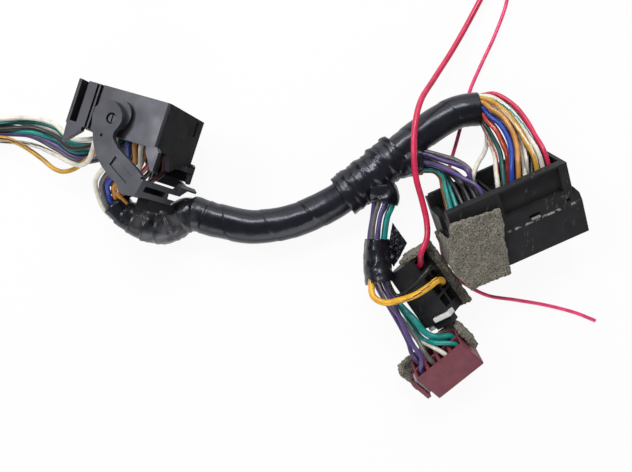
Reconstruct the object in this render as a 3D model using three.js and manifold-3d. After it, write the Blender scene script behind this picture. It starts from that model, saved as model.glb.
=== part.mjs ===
// Wiring harness: four plugs joined by a taped trunk of wires, lying flat on a bench.
// Millimetres, +Z up. +X runs along the harness from the lever plug to the wide plug.
// The origin is on the bench, under the middle of the harness without its loose leads.
import * as THREE from 'three';
import { mergeVertices } from 'three/addons/utils/BufferGeometryUtils.js';
import Module from 'manifold-3d';

const wasm = await Module();
wasm.setup();

// Clearance where two pieces touch, and how far a cut runs past a face.
const gap = 0.3;
const past = 1;

// From the point under the photo's centre, which the places below are measured from, to the origin.
const middle = [-4.5, 2.2, 0];

// Wire diameters over the insulation.
const signalWire = 1.6;
const powerWire = 2.2;
const thickLead = 2.0;
const thinLead = 1.3;

// Lever plug: x along the plug, y towards its mating side, z out of its lever face.
const leverPlug = {
  position: [-58.4, 37.1, 16.9], turn: [0, -17, -18],
  height: 14.5, wall: 1.7, corner: 1.2, railWidth: 5.1, chamfer: 2, blockTop: 0, blockThick: 4,
  holeWidth: 1.1, columnPitch: 2.4, columns: 10, rowPitch: 3.4, rows: 6,
  besideHoles: { left: 2.8, right: 3.8, rows: 2.05 },
  pivot: [1.5, -2.4], pinRadius: 1.35, pinSlit: 0.5, discCentre: [1.7, -0.6], discRadius: 4.75, discRise: 1.4,
};

// Lever: a bail of two arms and a handle bar.
const lever = { armThick: 2, pivotClearance: 0.4, pinRecess: 0.6, pocketDepth: 0.7, dimple: 0.5 };

// Wide plug: x along the plug, y towards its wires, z out of its front.
const widePlug = {
  position: [62.4, 7.7, 14.1], turn: [26, 0, 23.9],
  back: -9, rim: 13, backRim: 13.6, bottom: -13.5, shoulder: -1.5, ledge: 3.1,
  wall: 1.2, recessWall: 0.9, recess: 2.2, skirtStep: { left: 1.15, right: 2.15, front: 0.6 },
  blockTop: 8, blockBottom: 2, dividerX: -4.05, dividerWidth: 2.2,
  holeWidth: 1.1, columnPitch: 2.3, rightColumns: 9, leftColumns: 6, rowPitch: 3.8, rows: 4,
  besideHoles: { divider: 1.15, left: 1.25, right: 2.45, front: 1.1, back: 1.2 },
};

// Small black plug: x along its four chambers, y towards its wires, z out of its flat side.
const blackPlug = {
  position: [36.8, -16.9, 8.3], turn: [40, 0, -54.9],
  left: -9.8, top: 5.3, bottom: -6, halfDepth: 5.5, corner: 0.5,
  chamber: 3.9, chamberFloor: -2.5, columnPitch: 4.8, columns: 4, row: 2.5, besideChambers: 0.65,
  contactHole: 1.6, lockEnd: 3.25, lockThick: 1.7, lockRise: 0.8, lockDepth: 3, lockHeight: 5.9,
};

// Burgundy plug: x along its four chambers, y towards its wires, z out of its upper face.
const redPlug = {
  position: [44.0, -42.7, 10.6], turn: [21.8, -14.0, 42.9],
  halfHeight: 5.75, halfDepth: 5, corner: 0.5,
  chamber: 3.7, chamberFloor: -1, columnPitch: 4.8, columns: 4, row: 2.3, besideChambers: 0.7,
  contactHole: 1.6, toeLength: 2.8, stripThick: 0.9,
};

// End plug of the left bundle, and the closed-end cap on the two red leads.
const endPlug = {
  position: [-150, 36, 5], length: 16, width: 13.4, height: 9.6, corner: 1,
  chamber: 2.1, chamberDepth: 3.2, columnPitch: 2.3, rowPitch: 2.6, columns: 5,
};
const crimpCap = { position: [64.2, 96, 2.9], length: 13, radius: 2.8, bore: 2.1, boreDepth: 5 };

// Felt and tape.
const felt = 1.6;
const tapeRadius = { mouth: 4.9, elbow: 6.3, trunk: 5.8, end: 5.6, wrap: 7.3, wrapHeight: 6.7, stub: 5.0 };
const wrapSpan = [0.6, 0.78];

// How far a wire's end stays from the face of the tape, and from the terminal block, that it meets.
const wireStart = 0.9;
const wireSeat = 0.75;

const colour = {
  blackPlastic: 0x232427, slatePlastic: 0x35353c, burgundy: 0x73404a, white: 0xe4e2dc, lilac: 0xa9a2b0,
  felt: 0x77705f, tape: 0x16181c, teal: 0x008c7d, purple: 0x5f4b8c, blue: 0x1e46b4, orange: 0xdc8c32,
  cream: 0xece6d8, grey: 0x646262, yellow: 0xf5af28, ochre: 0xd29b28, crimson: 0xd83258, pink: 0xe07a82,
  redPink: 0xf5467d, black: 0x1a1b1e, darkTeal: 0x1f5a58, red: 0xd84a30,
};

function material(name) {
  const soft = name === 'felt' ? 0.95 : 0.5;
  return new THREE.MeshStandardMaterial({ color: colour[name], roughness: soft, metalness: 0 });
}

// Solids: a geometry becomes a manifold solid, and a solid becomes a named mesh.
function solid(geometry) {
  const bare = geometry.index ? geometry.toNonIndexed() : geometry.clone();
  bare.deleteAttribute('normal');
  bare.deleteAttribute('uv');
  const merged = mergeVertices(bare, 1e-4);
  const result = new wasm.Manifold(new wasm.Mesh({
    numProp: 3,
    vertProperties: new Float32Array(merged.attributes.position.array),
    triVerts: new Uint32Array(merged.index.array),
  }));
  if (result.volume() >= 0) return result;
  const flipped = new Uint32Array(merged.index.array);
  for (let i = 0; i < flipped.length; i += 3) [flipped[i], flipped[i + 1]] = [flipped[i + 1], flipped[i]];
  return new wasm.Manifold(new wasm.Mesh({
    numProp: 3,
    vertProperties: new Float32Array(merged.attributes.position.array),
    triVerts: flipped,
  }));
}

function named(name, shape, look) {
  const result = shape.getMesh();
  const geometry = new THREE.BufferGeometry();
  geometry.setAttribute('position', new THREE.BufferAttribute(new Float32Array(result.vertProperties), 3));
  geometry.setIndex(new THREE.BufferAttribute(new Uint32Array(result.triVerts), 1));
  geometry.computeVertexNormals();
  const mesh = new THREE.Mesh(geometry, material(look));
  mesh.name = name;
  return mesh;
}

const axisX = new THREE.Vector3(1, 0, 0);
const axisY = new THREE.Vector3(0, 1, 0);
const axisZ = new THREE.Vector3(0, 0, 1);

function outline(points) {
  return new THREE.Shape(points.map(([a, b]) => new THREE.Vector2(a, b)));
}

function roundedOutline(a0, a1, b0, b1, radius) {
  const shape = new THREE.Shape();
  shape.moveTo(a0 + radius, b0);
  shape.lineTo(a1 - radius, b0);
  shape.absarc(a1 - radius, b0 + radius, radius, -Math.PI / 2, 0, false);
  shape.absarc(a1 - radius, b1 - radius, radius, 0, Math.PI / 2, false);
  shape.absarc(a0 + radius, b1 - radius, radius, Math.PI / 2, Math.PI, false);
  shape.absarc(a0 + radius, b0 + radius, radius, Math.PI, 1.5 * Math.PI, false);
  return shape;
}

function extruded(shape, depth) {
  return new THREE.ExtrudeGeometry(shape, { depth, bevelEnabled: false, curveSegments: 3 });
}

// A prism along Z of an outline in X and Y.
function prismZ(shape, z0, z1) {
  return solid(extruded(shape, z1 - z0).translate(0, 0, z0));
}

// A prism along X of an outline in Y and Z.
function prismX(shape, x0, x1) {
  const geometry = extruded(shape, x1 - x0).translate(0, 0, x0);
  return solid(geometry.applyMatrix4(new THREE.Matrix4().makeBasis(axisY, axisZ, axisX)));
}

// A prism along Y of an outline in Z and X.
function prismY(shape, y0, y1) {
  const geometry = extruded(shape, y1 - y0).translate(0, 0, y0);
  return solid(geometry.applyMatrix4(new THREE.Matrix4().makeBasis(axisZ, axisX, axisY)));
}

function block(x0, x1, y0, y1, z0, z1) {
  const geometry = new THREE.BoxGeometry(x1 - x0, y1 - y0, z1 - z0);
  return solid(geometry.translate((x0 + x1) / 2, (y0 + y1) / 2, (z0 + z1) / 2));
}

function discZ(x, y, radius, z0, z1, sides = 20) {
  const geometry = new THREE.CylinderGeometry(radius, radius, z1 - z0, sides).rotateX(Math.PI / 2);
  return solid(geometry.translate(x, y, (z0 + z1) / 2));
}

// A tube of round section along a smooth curve through the points.
function curveThrough(points) {
  return new THREE.CatmullRomCurve3(points.map((p) => new THREE.Vector3(...p)));
}

function tube(points, diameter, sides = 8) {
  const curve = curveThrough(points);
  const section = new THREE.Shape();
  const corner = (i) => [Math.cos((2 * Math.PI * i) / sides), Math.sin((2 * Math.PI * i) / sides)];
  section.moveTo(diameter / 2, 0);
  for (let i = 1; i < sides; i += 1) section.lineTo(...corner(i).map((c) => (c * diameter) / 2));
  const steps = Math.max(4, Math.round(curve.getLength() / (3 * diameter)));
  return solid(new THREE.ExtrudeGeometry(section, { steps, extrudePath: curve, bevelEnabled: false }));
}

// Each plug is a group in its own place, and a point of the plug has its place in the harness.
const harness = new THREE.Group();

function plugGroup(plug) {
  const group = new THREE.Group();
  const [rx, ry, rz] = (plug.turn ?? [0, 0, 0]).map(THREE.MathUtils.degToRad);
  group.position.set(...plug.position);
  group.rotation.set(rx, ry, rz, 'ZYX');
  harness.add(group);
  group.updateMatrixWorld(true);
  return group;
}

const groups = {
  lever: plugGroup(leverPlug), wide: plugGroup(widePlug), black: plugGroup(blackPlug),
  red: plugGroup(redPlug), end: plugGroup(endPlug), cap: plugGroup(crimpCap),
};

function placed(group, x, y, z) {
  return new THREE.Vector3(x, y, z).applyMatrix4(group.matrixWorld).toArray();
}

// The lever plug is as long and as deep as its field of terminal holes, its walls and its rail.
const leverLength = leverPlug.railWidth + leverPlug.besideHoles.left
  + leverPlug.columnPitch * (leverPlug.columns - 1) + leverPlug.besideHoles.right + leverPlug.wall;
const leverDepth = 2 * (leverPlug.wall + leverPlug.besideHoles.rows) + leverPlug.rowPitch * (leverPlug.rows - 1);
const leverCavityLeft = -leverLength / 2 + leverPlug.railWidth;
const leverX = (column) => leverCavityLeft + leverPlug.besideHoles.left + leverPlug.columnPitch * column;
const leverZ = (row) => leverPlug.rowPitch * ((leverPlug.rows - 1) / 2 - row);

// The wide plug's chamber holds two terminal blocks: columns from 0 to the right of its divider,
// and from -1 to the left of it.
function wideX(column) {
  const p = widePlug;
  const beside = p.dividerWidth / 2 + p.besideHoles.divider;
  if (column < 0) return p.dividerX - beside + p.columnPitch * (column + 1);
  return p.dividerX + beside + p.columnPitch * column;
}
const wideZ = (row) => widePlug.back + widePlug.wall + widePlug.besideHoles.back
  + widePlug.rowPitch * (widePlug.rows - 1 - row);
const wideChamber = {
  left: wideX(-widePlug.leftColumns) - widePlug.besideHoles.left,
  right: wideX(widePlug.rightColumns - 1) + widePlug.besideHoles.right,
  back: widePlug.back + widePlug.wall,
  front: wideZ(0) + widePlug.besideHoles.front,
};
const wideFront = wideChamber.front + widePlug.recessWall + widePlug.recess;
const wideLeft = wideChamber.left - widePlug.wall;
const wideRight = wideChamber.right + widePlug.wall;
const skirt = {
  left: wideLeft - widePlug.skirtStep.left,
  right: wideRight + widePlug.skirtStep.right,
  front: wideFront + widePlug.skirtStep.front,
};

// The small plugs are as long as their row of chambers.
const blackX = (column) => blackPlug.left + blackPlug.besideChambers + blackPlug.chamber / 2
  + blackPlug.columnPitch * column;
const blackRight = blackX(blackPlug.columns - 1) + blackPlug.chamber / 2 + blackPlug.lockEnd;
const lockX = blackRight - blackPlug.lockThick / 2 - 0.55;
const redX = (column) => redPlug.columnPitch * (column - (redPlug.columns - 1) / 2);
const redHalfLength = redX(redPlug.columns - 1) + redPlug.chamber / 2 + redPlug.besideChambers;

// Lever plug: a tube-like housing with rails, grooves, pin bosses, catches and a guard at its right end.
function leverPlugHousing() {
  const p = leverPlug;
  const x = leverLength / 2;
  const y = p.height / 2;
  const z = leverDepth / 2;
  let body = prismY(roundedOutline(-z, z, -x, x, p.corner), -y, y);
  const cavity = roundedOutline(-z + p.wall, z - p.wall, leverCavityLeft, x - p.wall, p.corner / 2);
  for (const side of [1, -1]) {
    const face = side * z;
    const [low, high] = side > 0 ? [face - 0.4, face + p.discRise] : [face - p.discRise, face + 0.4];
    body = body.add(discZ(...p.discCentre, p.discRadius, low, high, 28));
    // Pin of the lever, split by a slit so that it snaps in.
    const [px, py] = p.pivot;
    const pinTop = face + side * (p.discRise + gap + lever.armThick - lever.pinRecess);
    const slitEnd = face + side * (p.discRise + gap);
    body = body.add(discZ(px, py, p.pinRadius, Math.min(face, pinTop), Math.max(face, pinTop), 16));
    const [half, reach, cutEnd] = [p.pinSlit / 2, p.pinRadius + past, pinTop + side * past];
    body = body.subtract(block(px - half, px + half, py - reach, py + reach,
      Math.min(slitEnd, cutEnd), Math.max(slitEnd, cutEnd)));
    // Triangular catches below the front and back walls.
    const inner = face - side * p.wall;
    const catchLeft = outline([[-x + 1, -y + 0.6], [-x + 7, -y + 0.6], [-x + 7, -y - 1.25], [-x + 1.5, -y - 6.3]]);
    const catchRight = outline([
      [x - 3.8, -y + 0.6], [x - 0.1, -y + 0.6], [x + 1, -y - 0.7], [x + 1, -y - 6.6], [x + 0.2, -y - 6.9],
      [x - 3.4, -y - 1.5],
    ]);
    body = body.add(prismZ(catchLeft, Math.min(inner, face), Math.max(inner, face)));
    body = body.add(prismZ(catchRight, Math.min(inner, face), Math.max(inner, face)));
  }
  body = body.subtract(prismY(cavity, -y - past, y + past));
  // Rail groove and the pair of key grooves in the lever face.
  body = body.subtract(block(-x + 1.8, -x + p.railWidth - 0.6, -y + 0.9, y + past, z - 3, z + past));
  body = body.subtract(block(-x + 7.8, -x + 8.6, -y - past, y + past, z - 1.1, z + past));
  body = body.subtract(block(-x + 9.2, -x + 10.3, -y - past, y + past, z - 1.1, z + past));
  // Guard under the right end wall, with its latch tongue.
  const guard = outline([
    [-y + 0.5, -z + 1.5], [-y + 0.5, 4], [-y - 5.2, 1.6], [-y - 3.2, -2.4], [-y - 3.2, -z + 1.5],
  ]);
  body = body.add(prismX(guard, x - p.wall, x));
  body = body.add(prismY(roundedOutline(-z + 2.2, -4.6, x - 0.6, x + 2.4, 0.5), -y - 3.2, -y - 1.6));
  // Slot in the right end wall, the cut corner behind it, and a bevel along the mating edge.
  body = body.subtract(block(x - 0.6, x + past, 1.2, y - 1, -7.2, -5.6));
  const c = p.chamfer;
  const corner = outline([[-z - past, x - c - past], [-z - past, x + past], [-z + c + past, x + past]]);
  body = body.subtract(prismY(corner, -y, y + past));
  const bevel = outline([[y - 1.2, -z - past], [y + past, -z - past], [y + past, -z + 2.4]]);
  return body.subtract(prismX(bevel, -x - past, x + past));
}

function leverPlugBlock() {
  const p = leverPlug;
  const z = leverDepth / 2 - p.wall - gap;
  const right = leverLength / 2 - p.wall - gap;
  const under = p.blockTop - p.blockThick;
  const body = prismY(roundedOutline(-z, z, leverCavityLeft + gap, right, 0.4), under, p.blockTop);
  const holes = [];
  for (let column = 0; column < p.columns; column += 1) {
    for (let row = 0; row < p.rows; row += 1) {
      const half = p.holeWidth / 2;
      const [hx, hz] = [leverX(column), leverZ(row)];
      holes.push(block(hx - half, hx + half, under - past, p.blockTop + past, hz - half, hz + half));
    }
  }
  return body.subtract(wasm.Manifold.union(holes));
}

// The lever's arm, from its pivot: a dog-leg plate from its round head to the handle bar.
function leverArmOutline() {
  const shape = new THREE.Shape();
  shape.moveTo(-3.7, 5.4);
  shape.lineTo(-0.7, 5.3);
  shape.quadraticCurveTo(4.1, 3, 3.9, 0);
  shape.quadraticCurveTo(3.5, -2.2, 2.6, -3.4);
  shape.quadraticCurveTo(2.3, -5, 2.9, -5.8);
  shape.lineTo(5.4, -8);
  shape.lineTo(13.7, -12.2);
  shape.lineTo(16.5, -14);
  shape.lineTo(13.1, -19.8);
  shape.lineTo(9.9, -19);
  shape.quadraticCurveTo(2.5, -16, -1, -12);
  shape.quadraticCurveTo(-3.9, -8.6, -4.5, -6.2);
  shape.quadraticCurveTo(-7.1, -2.6, -6.7, 1.8);
  return shape;
}

function leverBail() {
  const p = leverPlug;
  const innerFace = leverDepth / 2 + p.discRise + gap;
  const outerFace = innerFace + lever.armThick;
  const arm = leverArmOutline();
  let body = prismZ(arm, innerFace, outerFace).add(prismZ(arm, -outerFace, -innerFace));
  // Handle bar between the arms, outside the catches' reach, with two moulded pockets.
  const bar = outline([[15.1, -14.7], [17.3, -14.8], [16.1, -20], [11.1, -20.8], [9.1, -19.2], [10.9, -18.1]]);
  body = body.add(prismZ(bar, -outerFace, outerFace));
  // Web that ties the far arm to the bar, outside the catches' reach.
  const web = outline([[15.4, -14.6], [17.2, -12.4], [18.4, -13.4], [17, -16.4], [15.2, -16.2]]);
  body = body.add(prismZ(web, -outerFace, -5));
  const pocket = outline([[12.9, -16.6], [18.5, -16.4], [18.5, -18.2], [13.9, -18.4]]);
  body = body.subtract(prismZ(pocket, 1 - innerFace, -1));
  body = body.subtract(prismZ(pocket, 1, innerFace - 1));
  // Pivot holes, a dimple and the sunk panel on the front arm.
  body = body.subtract(discZ(0, 0, p.pinRadius + lever.pivotClearance, -outerFace - past, outerFace + past, 20));
  body = body.subtract(discZ(-1.4, -5.8, lever.dimple, outerFace - lever.pocketDepth, outerFace + past, 8));
  const panel = outline([[5.6, -10.6], [13.4, -14.7], [12.1, -17.6], [4.4, -13.5]]);
  body = body.subtract(prismZ(panel, outerFace - lever.pocketDepth, outerFace + past));
  // The hidden end of the handle is cut back to pass the trunk.
  const relief = outline([[-14, -20], [-14, -10], [-21.6, -4], [-27.6, -4], [-27.6, -20]]);
  return body.subtract(prismX(relief, 0, 25)).translate([...p.pivot, 0]);
}

// Wide plug: upper chamber for the wires, and a wider skirt with the mating chamber.
function widePlugHousing() {
  const p = widePlug;
  const [x0, x1] = [wideLeft, wideRight];
  const upper = outline([[p.shoulder, p.back], [p.backRim, p.back], [p.backRim, p.back + p.wall],
    [p.rim, p.back + p.wall + 2], [p.rim, wideFront], [p.shoulder, wideFront]]);
  const lower = outline([[p.bottom, p.back], [0, p.back], [p.ledge + 1.3, p.back + 2], [p.ledge + 1.3, 0],
    [p.ledge, wideFront - 1.2], [p.shoulder, skirt.front], [p.bottom, skirt.front]]);
  let body = prismX(upper, x0, x1);
  body = body.add(prismX(lower, skirt.left, skirt.right));
  // Chamfered lower corners at both ends, seen from the front.
  body = body.subtract(prismZ(outline([[skirt.right + past, 4.6], [x1 + 0.2, 4.6], [skirt.right + past, -1]]),
    p.back - past, skirt.front + past));
  body = body.subtract(prismZ(outline([[skirt.left - past, -1], [x0 - 0.2, 4.6], [skirt.left - past, 4.6]]),
    p.back - past, skirt.front + past));
  // Left end flange, the notch for the wires beside it, and the notched right end of the back wall.
  body = body.add(block(skirt.left, x0 + 1, 0, p.rim, p.back, 1));
  const notchEnd = wideChamber.left + 0.1;
  body = body.subtract(block(skirt.left - past, notchEnd, 9, p.rim + past, p.back + 2.4, wideFront - 3.2));
  body = body.subtract(block(x1 - 2.2, x1 + past, p.rim, p.backRim + past, p.back - past, 0));
  // Wire chamber right through, and the mating chamber from below.
  const chamber = wideChamber;
  const mouth = p.blockBottom - 1;
  body = body.subtract(block(chamber.left, chamber.right, mouth, p.backRim + past, chamber.back, chamber.front));
  body = body.subtract(block(skirt.left + 1.5, skirt.right - 1.5, p.bottom - past, mouth,
    chamber.back, skirt.front - 1.8));
  // Divider between the two terminal blocks.
  const [d0, d1] = [p.dividerX - p.dividerWidth / 2, p.dividerX + p.dividerWidth / 2];
  body = body.add(block(d0, d1, mouth, p.rim - 1.5, chamber.back - 0.5, chamber.front + 0.5));
  body = body.subtract(block(p.dividerX - 0.35, p.dividerX + 0.35, p.blockTop, p.rim, chamber.back, chamber.front));
  // Recess in the front, the slot and the square hole in the ledge below it.
  const cutFront = skirt.front + past;
  body = body.subtract(block(d1 + 0.1, x1 - 2.9, p.ledge, p.rim - 0.7, wideFront - p.recess, cutFront));
  body = body.subtract(block(4.6, 8.2, -0.9, 0.5, wideFront - 0.8, cutFront));
  return body.subtract(block(x1 - 2.65, x1 - 1.35, -0.6, 0.7, wideFront - 0.8, cutFront));
}

// A terminal block of the wide plug.
function wideBlock(x0, x1, columns) {
  const p = widePlug;
  const body = block(x0, x1, p.blockBottom, p.blockTop, wideChamber.back + gap, wideChamber.front - gap);
  const half = p.holeWidth / 2;
  const holes = [];
  for (const column of columns) {
    for (let row = 0; row < p.rows; row += 1) {
      const [hx, hz] = [wideX(column), wideZ(row)];
      holes.push(block(hx - half, hx + half, p.blockBottom - past, p.blockTop + past, hz - half, hz + half));
    }
  }
  return body.subtract(wasm.Manifold.union(holes));
}

// Felt pad folded over the front, the left end and the mating edge of the wide plug.
function widePad() {
  const p = widePlug;
  const inner = skirt.front + gap;
  const under = p.bottom - gap;
  const outer = inner + felt;
  const profile = outline([[10.3, inner], [10.3, outer], [-1, outer + 0.5], [under - felt, outer],
    [under - felt, -5], [under, -5], [under, inner]]);
  const ragged = outline([[-20.7, 10.4], [-15, 9.6], [-4.4, 8.2], [-4.6, 3], [-6, -1.5], [-6.7, -18], [-20.2, -18],
    [-22.4, -11], [-24.2, -8], [-25, -3], [-22.8, 4]]);
  const front = prismX(profile, skirt.left - 4, -3).intersect(prismZ(ragged, -10, 20));
  const end = outline([[-7.4, -4], [2.2, -3.4], [4, inner + felt / 2], [-9.6, inner + felt / 2], [-9.6, 3]]);
  return front.add(prismX(end, skirt.left - gap - felt, skirt.left - gap));
}

// Small black plug: eight chambers, and a slot for its white lock.
function blackPlugHousing() {
  const p = blackPlug;
  const d = p.halfDepth;
  let body = prismY(roundedOutline(-d, d, p.left, blackRight, p.corner), p.bottom, p.top);
  const half = p.chamber / 2;
  const pin = p.contactHole / 2;
  for (let column = 0; column < p.columns; column += 1) {
    for (const z of [p.row, -p.row]) {
      const x = blackX(column);
      body = body.subtract(block(x - half, x + half, p.chamberFloor, p.top + past, z - half, z + half));
      body = body.subtract(block(x - pin, x + pin, p.bottom - past, p.chamberFloor + past, z - pin, z + pin));
    }
  }
  const halfLock = p.lockThick / 2 + gap;
  return body.subtract(block(lockX - halfLock, lockX + halfLock, p.top - p.lockHeight - gap, p.top + past,
    d - p.lockDepth - gap, d + past));
}

function blackPlugLock() {
  const p = blackPlug;
  const half = p.lockThick / 2;
  const bar = roundedOutline(p.halfDepth - p.lockDepth, p.halfDepth + p.lockRise, lockX - half, lockX + half, 0.3);
  return prismY(bar, p.top - p.lockHeight, p.top + p.lockRise);
}

// Felt strip round the far side and the upper end of the small black plug.
function blackPlugFelt() {
  const p = blackPlug;
  const z0 = -p.halfDepth - gap;
  const x0 = p.left - gap;
  const strip = outline([[z0, blackRight + 0.6], [z0 - felt, blackRight + 1.2], [z0 - felt - 0.4, 4],
    [z0 - felt, x0 - felt], [-2, x0 - felt - 0.8], [3.2, x0 - felt], [3.2, x0], [z0, x0]]);
  return prismY(strip, -1.2, p.top + 2.6);
}

// Burgundy plug: eight chambers, and a low toe that sticks out at its left end.
function redPlugHousing() {
  const p = redPlug;
  const [x, y, z] = [redHalfLength, p.halfHeight, p.halfDepth];
  let body = prismY(roundedOutline(-z, z, -x, x, p.corner), -y, y);
  const tip = -x - p.toeLength;
  const toe = outline([[-z + 0.2, -x + 1], [-1.4, -x + 1], [-1.4, tip], [-z + 0.8, tip + 0.6]]);
  body = body.add(prismY(toe, -y + 1, y - 2.6));
  const half = p.chamber / 2;
  const pin = p.contactHole / 2;
  for (let column = 0; column < p.columns; column += 1) {
    for (const row of [p.row, -p.row]) {
      const hx = redX(column);
      body = body.subtract(block(hx - half, hx + half, p.chamberFloor, y + past, row - half, row + half));
      body = body.subtract(block(hx - pin, hx + pin, -y - past, p.chamberFloor + past, row - pin, row + pin));
    }
  }
  return body;
}

function redPlugStrip() {
  const p = redPlug;
  const x1 = -redHalfLength - gap;
  return prismY(roundedOutline(0.2, p.halfDepth - 1.2, x1 - p.stripThick, x1, 0.3), -2.4, p.halfHeight - 0.6);
}

// Felt strip under the burgundy plug, turned up past both of its ends.
function redPlugFelt() {
  const p = redPlug;
  const z0 = -p.halfDepth - gap;
  const [x0, x1] = [-redHalfLength - p.toeLength - gap, redHalfLength + gap];
  const strip = outline([[z0, x0], [-1, x0 - 0.2], [-0.6, x0 - felt], [z0 - felt + 0.4, x0 - felt + 0.2],
    [z0 - felt + 0.2, x1 - 2], [z0 - felt + 1.6, x1 + felt + 0.4], [1.2, x1 + felt + 0.8], [1.4, x1 + 0.2],
    [z0, x1]]);
  return prismY(strip, -1.8, p.halfHeight + 1.4);
}

// End plug: a plain body with wire chambers on one face and a mating recess on the other.
function endPlugBody() {
  const p = endPlug;
  const [y, z] = [p.width / 2, p.height / 2];
  let body = prismX(roundedOutline(-y, y, -z, z, p.corner), -p.length / 2, p.length / 2);
  for (let column = 0; column < p.columns; column += 1) {
    for (const side of [1, -1]) {
      const cy = (column - 2) * p.columnPitch;
      const cz = (side * p.rowPitch) / 2;
      const half = p.chamber / 2;
      body = body.subtract(block(p.length / 2 - p.chamberDepth, p.length / 2 + past, cy - half, cy + half,
        cz - half, cz + half));
    }
  }
  return body.subtract(block(-p.length / 2 - past, -p.length / 2 + 6, -y + 1.2, y - 1.2, -z + 1.2, z - 1.2));
}

// Closed-end crimp cap, a turned shape with a bore for the two leads.
function crimpCapBody() {
  const p = crimpCap;
  const r = p.radius;
  const profile = [[0, p.length], [r * 0.6, p.length - 0.3], [r * 0.92, p.length - 1.6], [r * 0.8, p.length - 4],
    [r * 0.86, p.length - 6], [r, p.length - 7.4], [r, 0.3], [r - 0.3, 0], [p.bore, 0], [p.bore, p.boreDepth],
    [0, p.boreDepth]];
  return solid(new THREE.LatheGeometry(profile.map(([a, b]) => new THREE.Vector2(a, b)), 14));
}

// Centre line of the taped trunk, from the elbow under the lever plug to its open end at the wide plug.
const trunkLine = curveThrough([
  [-68.8, 11.6, 8.5], [-64.4, 7.2, 7.2], [-58.4, 3.8, 6.6], [-51.5, 3.1, 6.5], [-43.3, 7.6, 6.3],
  [-34.1, 5.3, 6], [-21.3, 3.1, 6], [-7.9, 5.2, 6], [3.8, 10.3, 6.2], [11.7, 15.4, 6.9],
  [22.6, 24, 7.2], [34.3, 33.6, 7], [44.7, 40.6, 7], [50.6, 42.8, 7.3], [55.4, 43.4, 7.5],
]);

// A closed skin round a nearly level curve: radiusAt gives the half width and the half height of each section.
function skin(curve, steps, sides, from, to, radiusAt) {
  const positions = [];
  const index = [];
  for (let i = 0; i <= steps; i += 1) {
    const t = from + ((to - from) * i) / steps;
    const centre = curve.getPointAt(t);
    const along = curve.getTangentAt(t);
    const across = new THREE.Vector3().crossVectors(along, axisZ).normalize();
    const up = new THREE.Vector3().crossVectors(across, along);
    for (let k = 0; k < sides; k += 1) {
      const angle = (2 * Math.PI * k) / sides;
      const [halfWidth, halfHeight] = radiusAt(t, angle);
      const point = centre.clone().addScaledVector(across, Math.cos(angle) * halfWidth);
      positions.push(...point.addScaledVector(up, Math.sin(angle) * halfHeight).toArray());
    }
  }
  for (let i = 0; i < steps; i += 1) {
    for (let k = 0; k < sides; k += 1) {
      const a = i * sides + k;
      const b = i * sides + ((k + 1) % sides);
      index.push(a, a + sides, b, b, a + sides, b + sides);
    }
  }
  positions.push(...curve.getPointAt(from).toArray(), ...curve.getPointAt(to).toArray());
  const hub = (steps + 1) * sides;
  for (let k = 0; k < sides; k += 1) {
    const next = (k + 1) % sides;
    index.push(hub, k, next, hub + 1, steps * sides + next, steps * sides + k);
  }
  const geometry = new THREE.BufferGeometry();
  geometry.setAttribute('position', new THREE.Float32BufferAttribute(positions, 3));
  geometry.setIndex(index);
  return solid(geometry);
}

// The trunk is thickest at its elbow, and narrows to both ends.
function trunkRadius(t) {
  const r = tapeRadius;
  if (t < 0.12) return r.mouth + (r.elbow - r.mouth) * Math.sin((Math.PI / 2) * (t / 0.12));
  if (t < 0.3) return r.elbow + (r.trunk - r.elbow) * ((t - 0.12) / 0.18);
  return r.trunk + (r.end - r.trunk) * ((t - 0.3) / 0.7);
}

function trunkSkin(extra) {
  return skin(trunkLine, 32, 12, 0, 1, (t) => [trunkRadius(t) + extra, trunkRadius(t) + extra]);
}

// Mouths of the tape: a point in the mouth's face, a to its left and b up.
function mouth(at, along) {
  const ahead = along.clone().normalize();
  const left = new THREE.Vector3(-ahead.y, ahead.x, 0).normalize();
  const face = at.clone().addScaledVector(ahead, wireStart);
  return (a, b) => face.clone().addScaledVector(left, a).addScaledVector(axisZ, b).toArray();
}

const rightMouth = { at: new THREE.Vector3(35.8, 25.9, 8), along: new THREE.Vector3(1, 0.12, 0) };
const downMouth = { at: new THREE.Vector3(22.9, 11.3, 7.5), along: new THREE.Vector3(-0.15, -1, 0) };
const trunkStart = mouth(trunkLine.getPointAt(0), trunkLine.getTangentAt(0).negate());
const trunkEnd = mouth(trunkLine.getPointAt(1), trunkLine.getTangentAt(1));
const rightOpening = mouth(rightMouth.at, rightMouth.along);
const downOpening = mouth(downMouth.at, downMouth.along);

// Where a wire ends, listed from outside to inside.
const atLever = (column, row) => {
  const p = leverPlug;
  const depths = [-p.height / 2, p.blockTop - p.blockThick - wireSeat];
  return depths.map((y) => placed(groups.lever, leverX(column), y, leverZ(row)));
};
const atWide = (column, row) => [placed(groups.wide, wideX(column), widePlug.blockTop + wireSeat, wideZ(row))];
const atBlack = (column, side) => {
  const p = blackPlug;
  const depths = [p.top - gap, p.chamberFloor + wireSeat];
  return depths.map((y) => placed(groups.black, blackX(column), y, side * p.row));
};
const atRed = (column, side) => {
  const p = redPlug;
  const depths = [p.halfHeight - gap, p.chamberFloor + wireSeat];
  return depths.map((y) => placed(groups.red, redX(column), y, side * p.row));
};
const atTrunkStart = (a, b) => [trunkStart(-a, b)];
const atTrunkEnd = (angle, radius) => {
  const turn = THREE.MathUtils.degToRad(angle);
  return [trunkEnd(radius * Math.sin(turn), radius * Math.cos(turn))];
};
const atRightMouth = (a, b) => [rightOpening(a, b)];
const atDownMouth = (a, b) => [downOpening(a, b)];
const atEnd = (row, column) => {
  const y = (column - 2) * endPlug.columnPitch;
  const z = (row - 0.5) * endPlug.rowPitch;
  const face = endPlug.length / 2;
  return [placed(groups.end, face + 4.5, y, z), placed(groups.end, face - 2, y, z)];
};
const atCap = (x) => [placed(groups.cap, x, -1.5, 0), placed(groups.cap, x, 3.5, 0)];

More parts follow.
